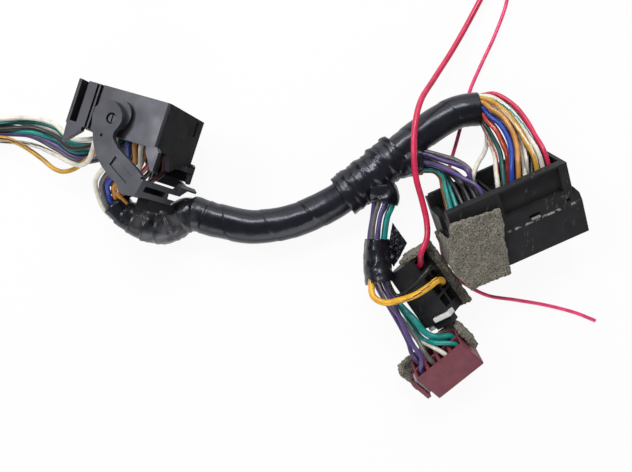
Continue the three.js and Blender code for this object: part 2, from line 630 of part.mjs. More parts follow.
// Crumpled wrap where the two branches leave the trunk.
function branchTape() {
  const wrap = (t, angle) => {
    const fold = 0.35 * Math.sin(5 * angle + 60 * t) + 0.25 * Math.sin(9 * angle - 90 * t);
    return [tapeRadius.wrap + fold, tapeRadius.wrapHeight + 0.4 * fold];
  };
  const [from, to] = wrapSpan;
  let body = skin(trunkLine, 9, 14, from, to, wrap);
  const stub = (start, opening, r) => {
    const bend = opening.at.clone().addScaledVector(opening.along, -3);
    const line = new THREE.CatmullRomCurve3([start, bend, opening.at]);
    return skin(line, 4, 12, 0, 1, (t, angle) => {
      const fold = 0.3 * Math.sin(4 * angle + 3 * t);
      return [r + fold, r + fold];
    });
  };
  body = body.add(stub(trunkLine.getPointAt(from + 0.62 * (to - from)), rightMouth, tapeRadius.stub));
  body = body.add(stub(trunkLine.getPointAt(from + 0.3 * (to - from)), downMouth, tapeRadius.stub));
  return body.subtract(trunkSkin(gap));
}

// Small wrap on the downward branch, with its loose end as a flag.
const smallTapeLine = curveThrough([
  [20.7, -1, 8], [20.7, -6.1, 8], [21, -10.6, 8.4], [21.6, -14.9, 9],
]);

function smallTape() {
  const shell = (extra) => (t) => [3.9 + 1.5 * t + extra, 5.6 + 1.2 * t + extra];
  let body = skin(smallTapeLine, 5, 12, 0.02, 0.98, (t, angle) => {
    const fold = 0.2 * Math.sin(5 * angle + 20 * t);
    return shell(0.9 + fold)(t);
  });
  body = body.subtract(skin(smallTapeLine, 5, 12, 0, 1, shell(0)));
  const flag = outline([
    [25.2, -2.4], [25.9, 4.6], [31, -2.4], [28.7, -7], [26.4, -10.6], [24.4, -6.8],
  ]);
  body = body.add(prismZ(flag, 7.6, 8.5));
  body = body.subtract(skin(smallTapeLine, 5, 12, 0, 1, shell(0)));
  // The wrap stays clear of the corner of the small black plug.
  const p = blackPlug;
  const d = p.halfDepth + gap;
  const corner = block(p.left - gap, 0, p.bottom - gap, p.top + 3, -d - felt - 2 * gap, d);
  return body.subtract(corner.transform(groups.black.matrixWorld.elements));
}

// Wires: name, colour, diameter, first end, last end, and the points that they pass between.
const wires = [
  ['left_white_top', 'cream', signalWire, atEnd(1, 4), atLever(1, 1), [
    [-118.8, 40.5, 6.6], [-108.5, 40.3, 6.6], [-97.9, 40.4, 7.2], [-89.1, 38.1, 8.8],
    [-82.3, 32.9, 11.5]
  ]],
  ['left_teal', 'teal', signalWire, atEnd(1, 3), atLever(2, 2), [
    [-119.3, 38.8, 5.6], [-109.1, 38.8, 5.4], [-97.4, 39.4, 5.2], [-88.9, 36.7, 6.6], [-83.1, 31.6, 9.2]
  ]],
  ['left_white_mid', 'cream', signalWire, atEnd(0, 4), atLever(1, 3), [
    [-120.4, 40, 3.6], [-110, 40, 3.4], [-98.4, 38.7, 3], [-88.7, 34.6, 4.6], [-81.4, 29.4, 7.4]
  ]],
  ['left_black', 'black', signalWire, atEnd(1, 2), atLever(2, 1), [
    [-118.8, 36.7, 6.6], [-108.5, 36.7, 6.6], [-96.6, 37, 7], [-88.8, 34, 8.6], [-82.1, 29.5, 11.6]
  ]],
  ['left_purple', 'purple', signalWire, atEnd(1, 1), atLever(3, 3), [
    [-119.6, 35.3, 5], [-109.4, 35.3, 4.8], [-97.9, 34.6, 4.8], [-90, 31.6, 6.4], [-80.3, 26.5, 8.6]
  ]],
  ['left_grey', 'grey', signalWire, atEnd(0, 2), atLever(3, 4), [
    [-121, 36.7, 2.4], [-110.5, 36.7, 2.4], [-99.1, 34.7, 2.2], [-90.5, 30.3, 3.6], [-80.5, 25.5, 6]
  ]],
  ['left_white_low', 'cream', signalWire, atEnd(0, 1), atLever(1, 0), [
    [-121.2, 34, 2], [-110.6, 33.3, 2.2], [-98.9, 31.8, 2.6], [-90.6, 28.4, 5], [-83, 24.8, 10.4],
    [-77.9, 23.5, 14.4], [-74.2, 24.8, 17.6]
  ]],
  ['left_ochre', 'ochre', signalWire, atEnd(0, 0), atLever(3, 1), [
    [-119.6, 33.2, 5], [-107.6, 33.7, 6.2], [-100.8, 31, 6.2], [-94.6, 26.6, 5.4], [-90.2, 23.2, 6.2],
    [-86.9, 22.1, 6.6], [-82.2, 23, 8], [-77.4, 25.6, 11]
  ]],
  ['bunch_cream', 'cream', signalWire, atLever(4, 0), atTrunkStart(-3.8, 1.4), [
    [-65.2, 24.1, 21], [-69.7, 21.3, 18.3], [-73, 17.9, 14.8], [-73.3, 13.9, 11.4]
  ]],
  ['bunch_grey', 'grey', signalWire, atLever(5, 1), atTrunkStart(-1.9, 2.4), [
    [-63.9, 23.6, 19.3], [-68.4, 20.4, 17], [-71.2, 17.2, 14.2], [-71.5, 14.4, 11.6]
  ]],
  ['bunch_blue', 'blue', signalWire, atLever(6, 0), atTrunkStart(0, 2.8), [
    [-61.5, 22.9, 20], [-66.2, 19.6, 17.4], [-69, 16.9, 14.8], [-69.4, 14.7, 12.6]
  ]],
  ['bunch_orange', 'orange', signalWire, atLever(7, 1), atTrunkStart(1.9, 2.4), [
    [-60, 21.7, 19], [-64.3, 18.7, 16.4], [-67.2, 16.6, 13.8], [-67.7, 15.1, 12]
  ]],
  ['bunch_white', 'cream', signalWire, atLever(8, 0), atTrunkStart(3.9, 1.4), [
    [-57.6, 21.4, 19], [-62.1, 17.9, 16.2], [-65, 16.3, 13.8], [-65.8, 15.2, 12.2]
  ]],
  ['bunch_pink', 'pink', signalWire, atLever(5, 2), atTrunkStart(-1.8, 0.2), [
    [-65.4, 22.5, 15], [-70.1, 19, 12.8], [-72.5, 16.2, 10.6], [-72, 13.9, 9]
  ]],
  ['fan_crimson', 'crimson', signalWire, atTrunkEnd(86, 4.8), atWide(8, 0), [
    [60.3, 48.2, 9.4], [65.8, 44, 12.5], [69.1, 38.2, 16], [70.9, 32.7, 19.2], [72.5, 27.8, 22.2]
  ]],
  ['fan_cream', 'cream', signalWire, atTrunkEnd(62.5, 4.8), atWide(7, 0), [
    [59.2, 46.6, 11.2], [63.8, 42.3, 14.2], [67.1, 37, 17], [69, 31.6, 20.2], [70.7, 26.7, 22.8]
  ]],
  ['fan_ochre', 'ochre', signalWire, atTrunkEnd(40, 4.8), atWide(6, 0), [
    [58.4, 45.1, 12.7], [62.4, 40.9, 15.6], [65.9, 35.3, 17.6], [67.6, 30.2, 20.6], [69.3, 25.1, 23.2]
  ]],
  ['fan_black', 'black', signalWire, atTrunkEnd(70, 2.5), atWide(5, 0), [
    [61.4, 44.9, 9.4], [65.4, 40.1, 11.6], [67.9, 35.1, 14.4], [69.1, 29.7, 17.4], [69.4, 25.1, 20.4]
  ]],
  ['fan_orange', 'orange', signalWire, atTrunkEnd(16, 4.8), atWide(3, 0), [
    [57.8, 42.5, 13.9], [61.6, 39.2, 15.6], [64.1, 33.9, 17.8], [64.7, 28.6, 20.6], [64.2, 23.2, 23.2]
  ]],
  ['fan_blue', 'blue', signalWire, atTrunkEnd(-9, 4.8), atWide(2, 0), [
    [57.5, 40.6, 12.4], [60.7, 37.1, 14.6], [62.6, 32.3, 17.4], [62.9, 27, 20.6], [62.2, 22.3, 23]
  ]],
  ['fan_white_black', 'cream', signalWire, atTrunkEnd(-14, 2.3), atWide(4, 0), [
    [61.6, 41.1, 9.8], [64.8, 36.5, 12], [66.7, 31.7, 15], [67.3, 26.7, 18.4]
  ]],
  ['fan_orange_red', 'red', signalWire, atTrunkEnd(-34, 4.8), atWide(3, 2), [
    [57.4, 38.8, 11.4], [60.2, 35, 13], [62.1, 30.2, 14], [62.9, 26.7, 15.6]
  ]],
  ['fan_white_red', 'cream', signalWire, atTrunkEnd(-83, 4.8), atWide(0, 0), [
    [57.7, 36.3, 8], [58.5, 31.2, 11.5], [58.9, 26.3, 16], [58, 21.3, 20.4]
  ]],
  ['fan_teal_dark', 'darkTeal', signalWire, atTrunkEnd(-59, 4.8), atWide(1, 0), [
    [57.3, 37.4, 10], [59, 32.6, 13.2], [60, 27.8, 17.2], [59.8, 22.8, 20.8]
  ]],
  ['fan_purple', 'purple', signalWire, atTrunkEnd(180, 0.6), atWide(4, 1), [
    [62.8, 40.1, 6.8], [65.5, 35.7, 9], [66, 30.2, 14.2], [65.8, 25.5, 17.4]
  ]],
  ['fan_loop_white', 'cream', signalWire, atTrunkEnd(-90, 2.6), atWide(-1, 3), [
    [58.6, 37.3, 5], [58.7, 32.3, 6.6], [56.8, 28.1, 10], [53.6, 23.9, 14], [51.6, 19.5, 16.2]
  ]],
  ['right_purple_top', 'purple', signalWire, atRightMouth(1.6, 2), atWide(-2, 2), [
    [42, 25.5, 11.5], [46.7, 23.5, 14.4], [49.8, 20.9, 17.4]
  ]],
  ['right_purple_front', 'purple', signalWire, atRightMouth(-1.4, 2.8), atWide(-1, 0), [
    [42.4, 22.1, 15.4], [48.4, 18.1, 20], [51.9, 15.5, 21.4]
  ]],
  ['right_grey', 'grey', signalWire, atRightMouth(0.2, 0.2), atWide(-3, 1), [
    [41.2, 24.2, 10], [44.8, 22, 12.6], [47, 18.7, 16.2]
  ]],
  ['right_teal', 'teal', signalWire, atRightMouth(-3.2, 1.2), atWide(-6, 0), [
    [40.3, 22.2, 11.6], [42.1, 19.5, 15], [42, 14.9, 19.6]
  ]],
  ['right_black', 'black', signalWire, atRightMouth(-2.6, -1), atWide(-4, 0), [
    [40.9, 23, 8], [43.4, 20.2, 12.6], [45, 16, 17.6]
  ]],
  ['down_purple_low', 'purple', signalWire, atDownMouth(-3.1, 0.6), atRed(0, -1), [
    [19.3, 6.5, 7.4], [18.3, -0.7, 7], [18.5, -8.9, 6.8], [20.9, -17.2, 6.6], [25.1, -24.4, 6.4],
    [28.5, -30.2, 6.4], [31.6, -36.4, 6.8], [32.8, -40.3, 7.6]
  ]],
  ['down_grey', 'grey', signalWire, atDownMouth(-1.7, 2), atRed(1, 1), [
    [20.2, 7.8, 9.2], [19, -0.7, 8.8], [19.6, -8.9, 8.2], [22, -17.4, 8.4], [25.8, -24.1, 9.2],
    [30.7, -30.1, 10.2], [34.2, -35.2, 12], [36.5, -39.3, 14]
  ]],
  ['down_purple_top', 'purple', signalWire, atDownMouth(0.4, 2.6), atRed(0, 1), [
    [22, 7.4, 9.8], [20.8, -0.7, 9.4], [21, -8.8, 9.6], [23.1, -15.9, 10.4], [26.2, -22.9, 11.2],
    [29.5, -30.7, 12.8], [32.2, -36.2, 14], [34.9, -40.3, 15]
  ]],
  ['down_teal_top', 'teal', powerWire, atDownMouth(3, 1.4), atRed(3, -1), [
    [24.3, 6.6, 8.4], [23.2, -1.4, 8], [23, -8.9, 6.6], [24.4, -16.8, 6.6], [27.9, -22.6, 8.4],
    [32.9, -27.9, 11.6], [36.7, -32.4, 12.6], [40.6, -33.8, 13.2]
  ]],
  ['down_teal_low', 'teal', signalWire, atDownMouth(1.2, 0.2), atRed(3, 1), [
    [22.1, 6.6, 6.6], [21.4, -1.4, 5.6], [21.8, -9, 4.6], [24.1, -16.7, 4], [28.1, -23.1, 5.6],
    [32.1, -29.2, 7.6], [35.9, -34.5, 9.8], [39.4, -35.2, 15.1]
  ]],
  ['down_white', 'cream', signalWire, atDownMouth(-1.2, -1.4), atRed(2, 1), [
    [20.2, 6.6, 4.8], [19.6, -1.4, 4.6], [20, -9, 4.2], [21.8, -17.4, 3.2], [27.1, -24, 3.8],
    [30.8, -31.5, 4.6], [34.7, -35.1, 7.4], [37.8, -36.4, 12.6]
  ]],
  ['down_yellow', 'yellow', powerWire, null, atBlack(2, -1), [
    [19.4, -8.7, 12.2], [18.5, -15.7, 13], [18.9, -19.9, 14.6], [22.4, -21.9, 16], [27.8, -20.9, 17.4],
    [32.5, -18.9, 19.6], [36.5, -16.1, 21], [38.6, -14.5, 20.6]
  ]],
  ['down_black', 'black', signalWire, null, atBlack(1, -1), [
    [22.8, -8.7, 11.8], [24.2, -15.9, 14.2], [26.8, -19.9, 14.6], [31.3, -16.6, 17.6],
    [34.9, -12.6, 19.5], [37.1, -10.4, 18.4]
  ]],
  ['red_lead_thick', 'crimson', thickLead, atBlack(0, 1), atCap(-0.9), [
    [34.3, -5.9, 17.2], [36.2, -0.7, 17.6], [36.2, 4.9, 17], [34.5, 12.1, 17.4], [32.5, 18.8, 18.8],
    [31.7, 26.5, 19.4], [32.3, 36.9, 18.6], [34.7, 44.9, 15], [39.9, 53.1, 10], [47.2, 64.3, 5],
    [53.3, 74.8, 2.6], [57.5, 82.7, 2], [60.2, 87.9, 2.2]
  ]],
  ['red_lead_thin', 'redPink', thinLead, atCap(0.95), null, [
    [67.4, 90.6, 1.6], [67.2, 83, 1], [63, 70.8, 0.9], [58.1, 60.2, 0.8], [54.2, 51.1, 0.8],
    [51.1, 39.1, 0.8], [49.5, 33.1, 0.8], [47.2, 25, 0.8], [45.1, 15.5, 0.8], [43.8, 5.6, 0.8],
    [43.8, -0.8, 0.8], [44.7, -6.6, 0.8], [47.2, -12.8, 0.9], [53.1, -17.3, 1], [60.3, -20.9, 0.9],
    [70.1, -22.5, 0.8], [80.7, -24.3, 0.8], [91.2, -27, 0.8], [98.3, -29.8, 0.8]
  ]],
];

for (const [name, look, diameter, first, last, between] of wires) {
  const points = [...(first ?? []).toReversed(), ...between, ...(last ?? [])];
  harness.add(named(name, tube(points, diameter), look));
}

groups.lever.add(named('lever_plug_housing', leverPlugHousing(), 'slatePlastic'));
groups.lever.add(named('lever_plug_block', leverPlugBlock(), 'blackPlastic'));
groups.lever.add(named('lever', leverBail(), 'slatePlastic'));
groups.wide.add(named('wide_plug_housing', widePlugHousing(), 'blackPlastic'));
const [besideLeft, besideRight] = [-1, 1].map((s) => widePlug.dividerX + s * (widePlug.dividerWidth / 2 + gap));
const [rightColumns, leftColumns] = [widePlug.rightColumns, widePlug.leftColumns];
const rightHoles = Array.from({ length: rightColumns }, (_, i) => i);
const leftHoles = Array.from({ length: leftColumns }, (_, i) => -1 - i);
const leftBlock = wideBlock(wideChamber.left + gap, besideLeft, leftHoles);
const rightBlock = wideBlock(besideRight, wideChamber.right - gap, rightHoles);
groups.wide.add(named('wide_plug_block_left', leftBlock, 'slatePlastic'));
groups.wide.add(named('wide_plug_block_right', rightBlock, 'slatePlastic'));
groups.wide.add(named('wide_plug_pad', widePad(), 'felt'));
groups.black.add(named('small_plug_housing', blackPlugHousing(), 'blackPlastic'));
groups.black.add(named('small_plug_lock', blackPlugLock(), 'white'));
groups.black.add(named('small_plug_pad', blackPlugFelt(), 'felt'));
groups.red.add(named('burgundy_plug_housing', redPlugHousing(), 'burgundy'));
groups.red.add(named('burgundy_plug_lock', redPlugStrip(), 'lilac'));
groups.red.add(named('burgundy_plug_pad', redPlugFelt(), 'felt'));
groups.end.add(named('end_plug', endPlugBody(), 'blackPlastic'));
groups.cap.add(named('crimp_cap', crimpCapBody(), 'white'));
harness.add(named('trunk_tape', trunkSkin(0), 'tape'));
harness.add(named('branch_tape', branchTape(), 'tape'));
harness.add(named('small_tape', smallTape(), 'tape'));

harness.position.set(...middle);

export default harness;
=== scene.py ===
"""Looks of the wiring harness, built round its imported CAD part.

Lengths are in metres unless a name ends in mm.
"""
import bpy
import math
import numpy as np
from mathutils import Euler, Matrix, Vector, noise


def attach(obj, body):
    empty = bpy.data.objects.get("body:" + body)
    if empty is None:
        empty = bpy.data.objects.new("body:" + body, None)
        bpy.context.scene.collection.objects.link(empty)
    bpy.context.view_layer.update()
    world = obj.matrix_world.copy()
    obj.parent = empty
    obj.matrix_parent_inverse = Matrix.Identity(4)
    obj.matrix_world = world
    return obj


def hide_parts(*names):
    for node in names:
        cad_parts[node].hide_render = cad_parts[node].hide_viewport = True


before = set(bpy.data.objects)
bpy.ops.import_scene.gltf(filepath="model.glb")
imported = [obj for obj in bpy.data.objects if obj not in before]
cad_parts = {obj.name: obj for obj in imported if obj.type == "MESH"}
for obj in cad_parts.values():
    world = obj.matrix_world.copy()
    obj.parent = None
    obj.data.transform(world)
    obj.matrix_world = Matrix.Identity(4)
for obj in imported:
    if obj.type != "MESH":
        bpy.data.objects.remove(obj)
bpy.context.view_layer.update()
scene = bpy.context.scene
scene.view_settings.view_transform = "Standard"

MM = 0.001
# The point under the camera, and the camera's height over the bench.
CAMERA_AT = (-0.0045, 0.0022, 0.230)
FOCAL_PX = 650.7
IMAGE_WIDTH_PX = 632
SENSOR = 36.0

camera_data = bpy.data.cameras.new("camera")
camera_data.sensor_width = SENSOR
camera_data.lens = FOCAL_PX / IMAGE_WIDTH_PX * SENSOR
camera_data.clip_start = 0.01
camera = bpy.data.objects.new("camera", camera_data)
camera.location = CAMERA_AT
scene.collection.objects.link(camera)
scene.camera = camera

# Linear colours.
COLOUR = {
    "cream": (0.80, 0.76, 0.66), "teal": (0.003, 0.26, 0.235), "black": (0.010, 0.010, 0.012),
    "purple": (0.092, 0.054, 0.200), "grey": (0.125, 0.12, 0.12), "ochre": (0.62, 0.33, 0.028),
    "blue": (0.010, 0.052, 0.40), "orange": (0.62, 0.27, 0.055), "pink": (0.72, 0.16, 0.17),
    "crimson": (0.66, 0.018, 0.085), "red": (0.62, 0.07, 0.03), "dark_teal": (0.010, 0.085, 0.075),
    "yellow": (0.88, 0.45, 0.015), "red_pink": (0.92, 0.06, 0.20), "white": (0.82, 0.80, 0.76),
    "brown": (0.22, 0.09, 0.03), "maroon": (0.11, 0.010, 0.016),
}


class Nodes:
    """A material's node tree, with short ways to add and link its nodes."""

    def __init__(self, name):
        self.material = bpy.data.materials.new(name)
        self.material.use_nodes = True
        self.tree = self.material.node_tree
        self.shader = self.tree.nodes["Principled BSDF"]
        self.place = self.add("ShaderNodeTexCoord").outputs["Object"]

    def add(self, kind, **values):
        node = self.tree.nodes.new(kind)
        for key, value in values.items():
            if key in node.inputs:
                node.inputs[key].default_value = value
            else:
                setattr(node, key, value)
        return node

    def link(self, out, to):
        self.tree.links.new(out, to)

    def noise(self, scale, detail=3.0, stretch=None):
        node = self.add("ShaderNodeTexNoise", Scale=scale, Detail=detail)
        if stretch is None:
            self.link(self.place, node.inputs["Vector"])
        else:
            mapping = self.add("ShaderNodeMapping")
            mapping.inputs["Scale"].default_value = stretch
            self.link(self.place, mapping.inputs["Vector"])
            self.link(mapping.outputs["Vector"], node.inputs["Vector"])
        return node.outputs["Fac"]

    def ramp(self, value, stops):
        node = self.add("ShaderNodeValToRGB")
        elements = node.color_ramp.elements
        elements[0].position, elements[1].position = stops[0][0], stops[-1][0]
        for position, _ in stops[1:-1]:
            elements.new(position)
        for element, (_, colour) in zip(elements, stops):
            element.color = (*colour, 1.0) if len(colour) == 3 else (colour[0],) * 3 + (1.0,)
        self.link(value, node.inputs["Fac"])
        return node.outputs["Color"]

    def mix(self, amount, a, b):
        node = self.add("ShaderNodeMix", data_type="RGBA")
        self.link(amount, node.inputs[0])
        for socket, value in ((node.inputs[6], a), (node.inputs[7], b)):
            if isinstance(value, tuple):
                socket.default_value = (*value, 1.0)
            else:
                self.link(value, socket)
        return node.outputs[2]

    def bump(self, height, strength, distance, below=None):
        node = self.add("ShaderNodeBump", Strength=strength, Distance=distance)
        self.link(height, node.inputs["Height"])
        if below is not None:
            self.link(below, node.inputs["Normal"])
        return node.outputs["Normal"]

    def math(self, operation, a, b):
        node = self.add("ShaderNodeMath", operation=operation)
        for socket, value in zip(node.inputs, (a, b)):
            if isinstance(value, float):
                socket.default_value = value
            else:
                self.link(value, socket)
        return node.outputs[0]

    def from_point(self, point):
        """The vector from a point, in metres, to the place that is shaded."""
        node = self.add("ShaderNodeVectorMath", operation="SUBTRACT")
        self.link(self.place, node.inputs[0])
        node.inputs[1].default_value = point
        return node.outputs["Vector"]

    def near(self, point, reach, jitter=0.35):
        """1 at a point, fading to 0 at `reach`, with a ragged border."""
        node = self.add("ShaderNodeVectorMath", operation="LENGTH")
        self.link(self.from_point(point), node.inputs[0])
        far = self.math("MULTIPLY", node.outputs["Value"], 1.0 / reach)
        ragged = self.math("ADD", far, self.math("MULTIPLY", self.noise(400, 3), jitter))
        return self.ramp(ragged, [(0.45 + jitter / 2, (1.0,)), (1.0, (0.0,))])

    def along_line(self, a, b, width):
        """1 within about `width` of the line from a to b, and 0 away from it."""
        start, end = Vector(a), Vector(b)
        cross = self.add("ShaderNodeVectorMath", operation="CROSS_PRODUCT")
        self.link(self.from_point(start), cross.inputs[0])
        cross.inputs[1].default_value = (end - start).normalized()
        aside = self.add("ShaderNodeVectorMath", operation="LENGTH")
        self.link(cross.outputs["Vector"], aside.inputs[0])
        off = self.math("MULTIPLY", aside.outputs["Value"], 1.0 / width)
        on_line = self.ramp(off, [(0.5, (1.0,)), (1.0, (0.0,))])
        middle = (start + end) / 2
        far = self.add("ShaderNodeVectorMath", operation="LENGTH")
        self.link(self.from_point(middle), far.inputs[0])
        half = (end - start).length / 2
        share = self.math("MULTIPLY", far.outputs["Value"], 1.0 / half)
        inside = self.ramp(share, [(0.9, (1.0,)), (1.0, (0.0,))])
        return self.math("MULTIPLY", on_line, inside)


def shade(colour, factor):
    return tuple(min(1.0, c * factor) for c in colour)


def plastic(name, colour, roughness=0.5, grain=0.12, scuffs=0.0, painted_sheen=None, worn_edge=None, gloss_level=0.2):
    """Moulded plastic: a fine grain, a mottled gloss, patches of painted bluish sheen, pale scuffs, and an
    edge that has rubbed bright.
    """
    n = Nodes(name)
    mottle = n.noise(260, 4)
    base = n.ramp(mottle, [(0.3, shade(colour, 0.82)), (0.7, shade(colour, 1.18))])
    # Painted sheen: lighter bluish patches mixed into the colour, where the lamps would shine on the gloss.
    if painted_sheen is not None:
        base = n.mix(n.ramp(n.noise(55, 2), [(0.35, (0.0,)), (0.70, (0.8,))]), base, painted_sheen)
    if scuffs > 0:
        marks = n.ramp(n.noise(900, 5, (1.0, 0.12, 1.0)), [(0.60, (0.0,)), (0.74, (scuffs,))])
        patches = n.ramp(n.noise(90, 3), [(0.5, (0.0,)), (0.62, (1.0,))])
        base = n.mix(n.math("MULTIPLY", marks, patches), base, (0.22, 0.22, 0.21))
    if worn_edge is not None:
        rubbed = n.ramp(n.noise(700, 5), [(0.47, (0.0,)), (0.62, (0.9,))])
        base = n.mix(n.math("MULTIPLY", n.along_line(*worn_edge), rubbed), base, (0.36, 0.36, 0.35))
    n.link(base, n.shader.inputs["Base Color"])
    gloss = n.ramp(n.noise(140, 4), [(0.3, (max(0.05, roughness - 0.07),)), (0.7, (roughness + 0.10,))])
    n.link(gloss, n.shader.inputs["Roughness"])
    n.shader.inputs["Specular IOR Level"].default_value = gloss_level
    # Reflections tinted bluish: painted colour of the light, put on the plastic rather than on the lamps.
    n.shader.inputs["Specular Tint"].default_value = (0.88, 0.89, 1.0, 1.0)
    n.link(n.bump(n.noise(4200, 2), strength=grain, distance=0.0001), n.shader.inputs["Normal"])
    return n.material


def insulation(name, colour):
    """PVC wire insulation: satin, with faint dirt and a slightly uneven surface."""
    n = Nodes(name)
    dirt = n.ramp(n.noise(330, 5), [(0.34, shade(colour, 0.72)), (0.60, colour), (0.8, shade(colour, 1.08))])
    n.link(dirt, n.shader.inputs["Base Color"])
    n.link(n.ramp(n.noise(420, 3), [(0.3, (0.30,)), (0.7, (0.46,))]), n.shader.inputs["Roughness"])
    n.shader.inputs["Coat Weight"].default_value = 0.15
    n.link(n.bump(n.noise(900, 2), strength=0.12, distance=0.0002), n.shader.inputs["Normal"])
    return n.material


def tape(name, crumple=0.0, painted_sheen_at=None):
    """Black PVC tape: soft long highlights, creases, dust, and a greyer patch of painted sheen round the
    bend.
    """
    n = Nodes(name)
    base = n.ramp(n.noise(120, 4), [(0.35, (0.003, 0.0035, 0.006)), (0.7, (0.008, 0.009, 0.015))])
    # Painted sheen: a greyer, streaky patch round the bend of the trunk, standing for light off the bent
    # tape.
    if painted_sheen_at is not None:
        painted_sheen_streaks = n.ramp(n.noise(260, 4), [(0.35, (0.010, 0.011, 0.014)), (0.65, (0.10, 0.10, 0.105))])
        base = n.mix(n.near(*painted_sheen_at), base, painted_sheen_streaks)
    dust = n.ramp(n.noise(2600, 3), [(0.68, (0.0,)), (0.76, (0.3,))])
    n.link(n.mix(dust, base, (0.12, 0.12, 0.13)), n.shader.inputs["Base Color"])
    rough = 0.20 + 0.10 * crumple
    n.link(n.ramp(n.noise(90, 3), [(0.3, (rough,)), (0.65, (rough + 0.12,))]), n.shader.inputs["Roughness"])
    # Reflections tinted bluish: painted colour of the light, put on the tape rather than on the lamps.
    n.shader.inputs["Specular Tint"].default_value = (0.86, 0.88, 1.0, 1.0)
    fine = n.bump(n.noise(900, 3), strength=0.04 + 0.5 * crumple, distance=0.0003)
    broad = n.bump(n.noise(150, 3), strength=0.12 + crumple, distance=0.0015, below=fine)
    n.link(broad, n.shader.inputs["Normal"])
    return n.material


def felt(name):
    """Pressed felt: grey and tan fibres, with pale and dark flecks."""
    n = Nodes(name)
    base = n.ramp(n.noise(300, 5), [(0.35, (0.130, 0.118, 0.094)), (0.65, (0.225, 0.205, 0.165))])
    pale = n.ramp(n.noise(2500, 4), [(0.53, (0.0,)), (0.66, (0.85,))])
    base = n.mix(pale, base, (0.42, 0.40, 0.33))
    dark = n.ramp(n.noise(2100, 4, (1.0, 0.7, 1.2)), [(0.52, (0.0,)), (0.63, (0.9,))])
    base = n.mix(dark, base, (0.040, 0.037, 0.032))
    n.link(base, n.shader.inputs["Base Color"])
    n.shader.inputs["Roughness"].default_value = 0.95
    n.shader.inputs["Specular IOR Level"].default_value = 0.15
    n.shader.inputs["Sheen Weight"].default_value = 0.25
    n.link(n.bump(n.noise(2200, 5), strength=0.8, distance=0.0005), n.shader.inputs["Normal"])
    return n.material


def plug_frame(at, turn_degrees):
    """A plug's own frame, as part.mjs places and turns it."""
    turn = Euler([math.radians(angle) for angle in turn_degrees], "XYZ")
    return Matrix.LocRotScale(Vector(at), turn, None)


# Frames of the plugs, the bend of the trunk with the reach of the painted sheen round it, and the wide plug's
# rubbed edge with its width.
LEVER_PLUG = plug_frame((-0.0629, 0.0393, 0.0169), (0, -17, -18))
LEVER_PLUG_RIGHT = LEVER_PLUG.to_3x3() @ Vector((1, 0, 0))
WIDE_PLUG = plug_frame((0.0579, 0.0099, 0.0141), (26, 0, 23.9))
SMALL_PLUG = plug_frame((0.0323, -0.0147, 0.0083), (40, 0, -54.9))
RED_PLUG = plug_frame((0.0395, -0.0405, 0.0106), (21.8, -14, 42.9))
ELBOW = (-0.0565, 0.0065, 0.0100)
ELBOW_SHEEN_REACH = 0.016
WORN_EDGE = (WIDE_PLUG @ Vector((-0.0040, -0.0015, 0.0096)),
             WIDE_PLUG @ Vector((0.0224, -0.0015, 0.0096)), 0.0005)

INSULATION = {name: insulation("insulation_" + name, colour) for name, colour in COLOUR.items()}
# The trunk's tape carries painted sheen round its bend.
TAPE = tape("tape", painted_sheen_at=(ELBOW, ELBOW_SHEEN_REACH))
CRUMPLED = tape("tape_crumpled", crumple=0.20)
CRINKLED = tape("tape_crinkled", crumple=0.75)
FELT = felt("felt")
# The slate and lever plastics have painted sheen in their colour: lighter bluish patches.
SLATE = plastic("slate_plastic", (0.024, 0.024, 0.028), roughness=0.36, grain=0.10, scuffs=0.2,
                painted_sheen=(0.038, 0.037, 0.054), gloss_level=0.5)
SLATE_END = plastic("slate_plastic_matt", (0.022, 0.022, 0.024), roughness=0.60, scuffs=0.2, gloss_level=0.06)
LEVER = plastic("lever_plastic", (0.036, 0.036, 0.042), roughness=0.42, scuffs=0.3,
                painted_sheen=(0.050, 0.050, 0.062), gloss_level=0.4)
BLACK = plastic("black_plastic", (0.018, 0.018, 0.019), grain=0.14, scuffs=0.5)
WORN_BLACK = plastic("black_plastic_worn", (0.020, 0.020, 0.021), grain=0.14, scuffs=0.6, worn_edge=WORN_EDGE)
DARK = plastic("terminal_block_plastic", (0.010, 0.010, 0.011), roughness=0.55, gloss_level=0.12)
BURGUNDY = plastic("burgundy_plastic", (0.185, 0.044, 0.060), grain=0.10, gloss_level=0.3)
WHITE = plastic("white_plastic", (0.70, 0.69, 0.67), roughness=0.45, grain=0.06)
LILAC = plastic("lilac_plastic", (0.33, 0.30, 0.36), grain=0.06)
PALE_GREY = plastic("pale_grey_plastic", (0.24, 0.24, 0.24), grain=0.06)


# Geometry of round and skinned shapes.
SAMPLES_PER_SPAN = 24


def smooth_line(points, spacing):
    """Points about every `spacing` along a centripetal Catmull-Rom curve, and how far along it each lies."""
    p = [np.array(q, float) for q in points]
    p = [2 * p[0] - p[1]] + p + [2 * p[-1] - p[-2]]
    line = []
    for i in range(1, len(p) - 2):
        a, b, c, d = p[i - 1:i + 3]
        ta = 0.0
        tb = ta + max(np.linalg.norm(b - a), 1e-9) ** 0.5
        tc = tb + max(np.linalg.norm(c - b), 1e-9) ** 0.5
        td = tc + max(np.linalg.norm(d - c), 1e-9) ** 0.5
        for t in np.linspace(tb, tc, SAMPLES_PER_SPAN, endpoint=i == len(p) - 3):
            ab = a + (b - a) * (t - ta) / (tb - ta)
            bc = b + (c - b) * (t - tb) / (tc - tb)
            cd = c + (d - c) * (t - tc) / (td - tc)
            abc = ab + (bc - ab) * (t - ta) / (tc - ta)
            bcd = bc + (cd - bc) * (t - tb) / (td - tb)
            line.append(abc + (bcd - abc) * (t - tb) / (tc - tb))
    line = np.array(line)
    reach = np.r_[0, np.linalg.norm(np.diff(line, axis=0), axis=1).cumsum()]
    count = max(4, int(round(reach[-1] / spacing)))
    even = np.linspace(0, reach[-1], count + 1)
    return np.stack([np.interp(even, reach, line[:, k]) for k in range(3)], axis=1), even


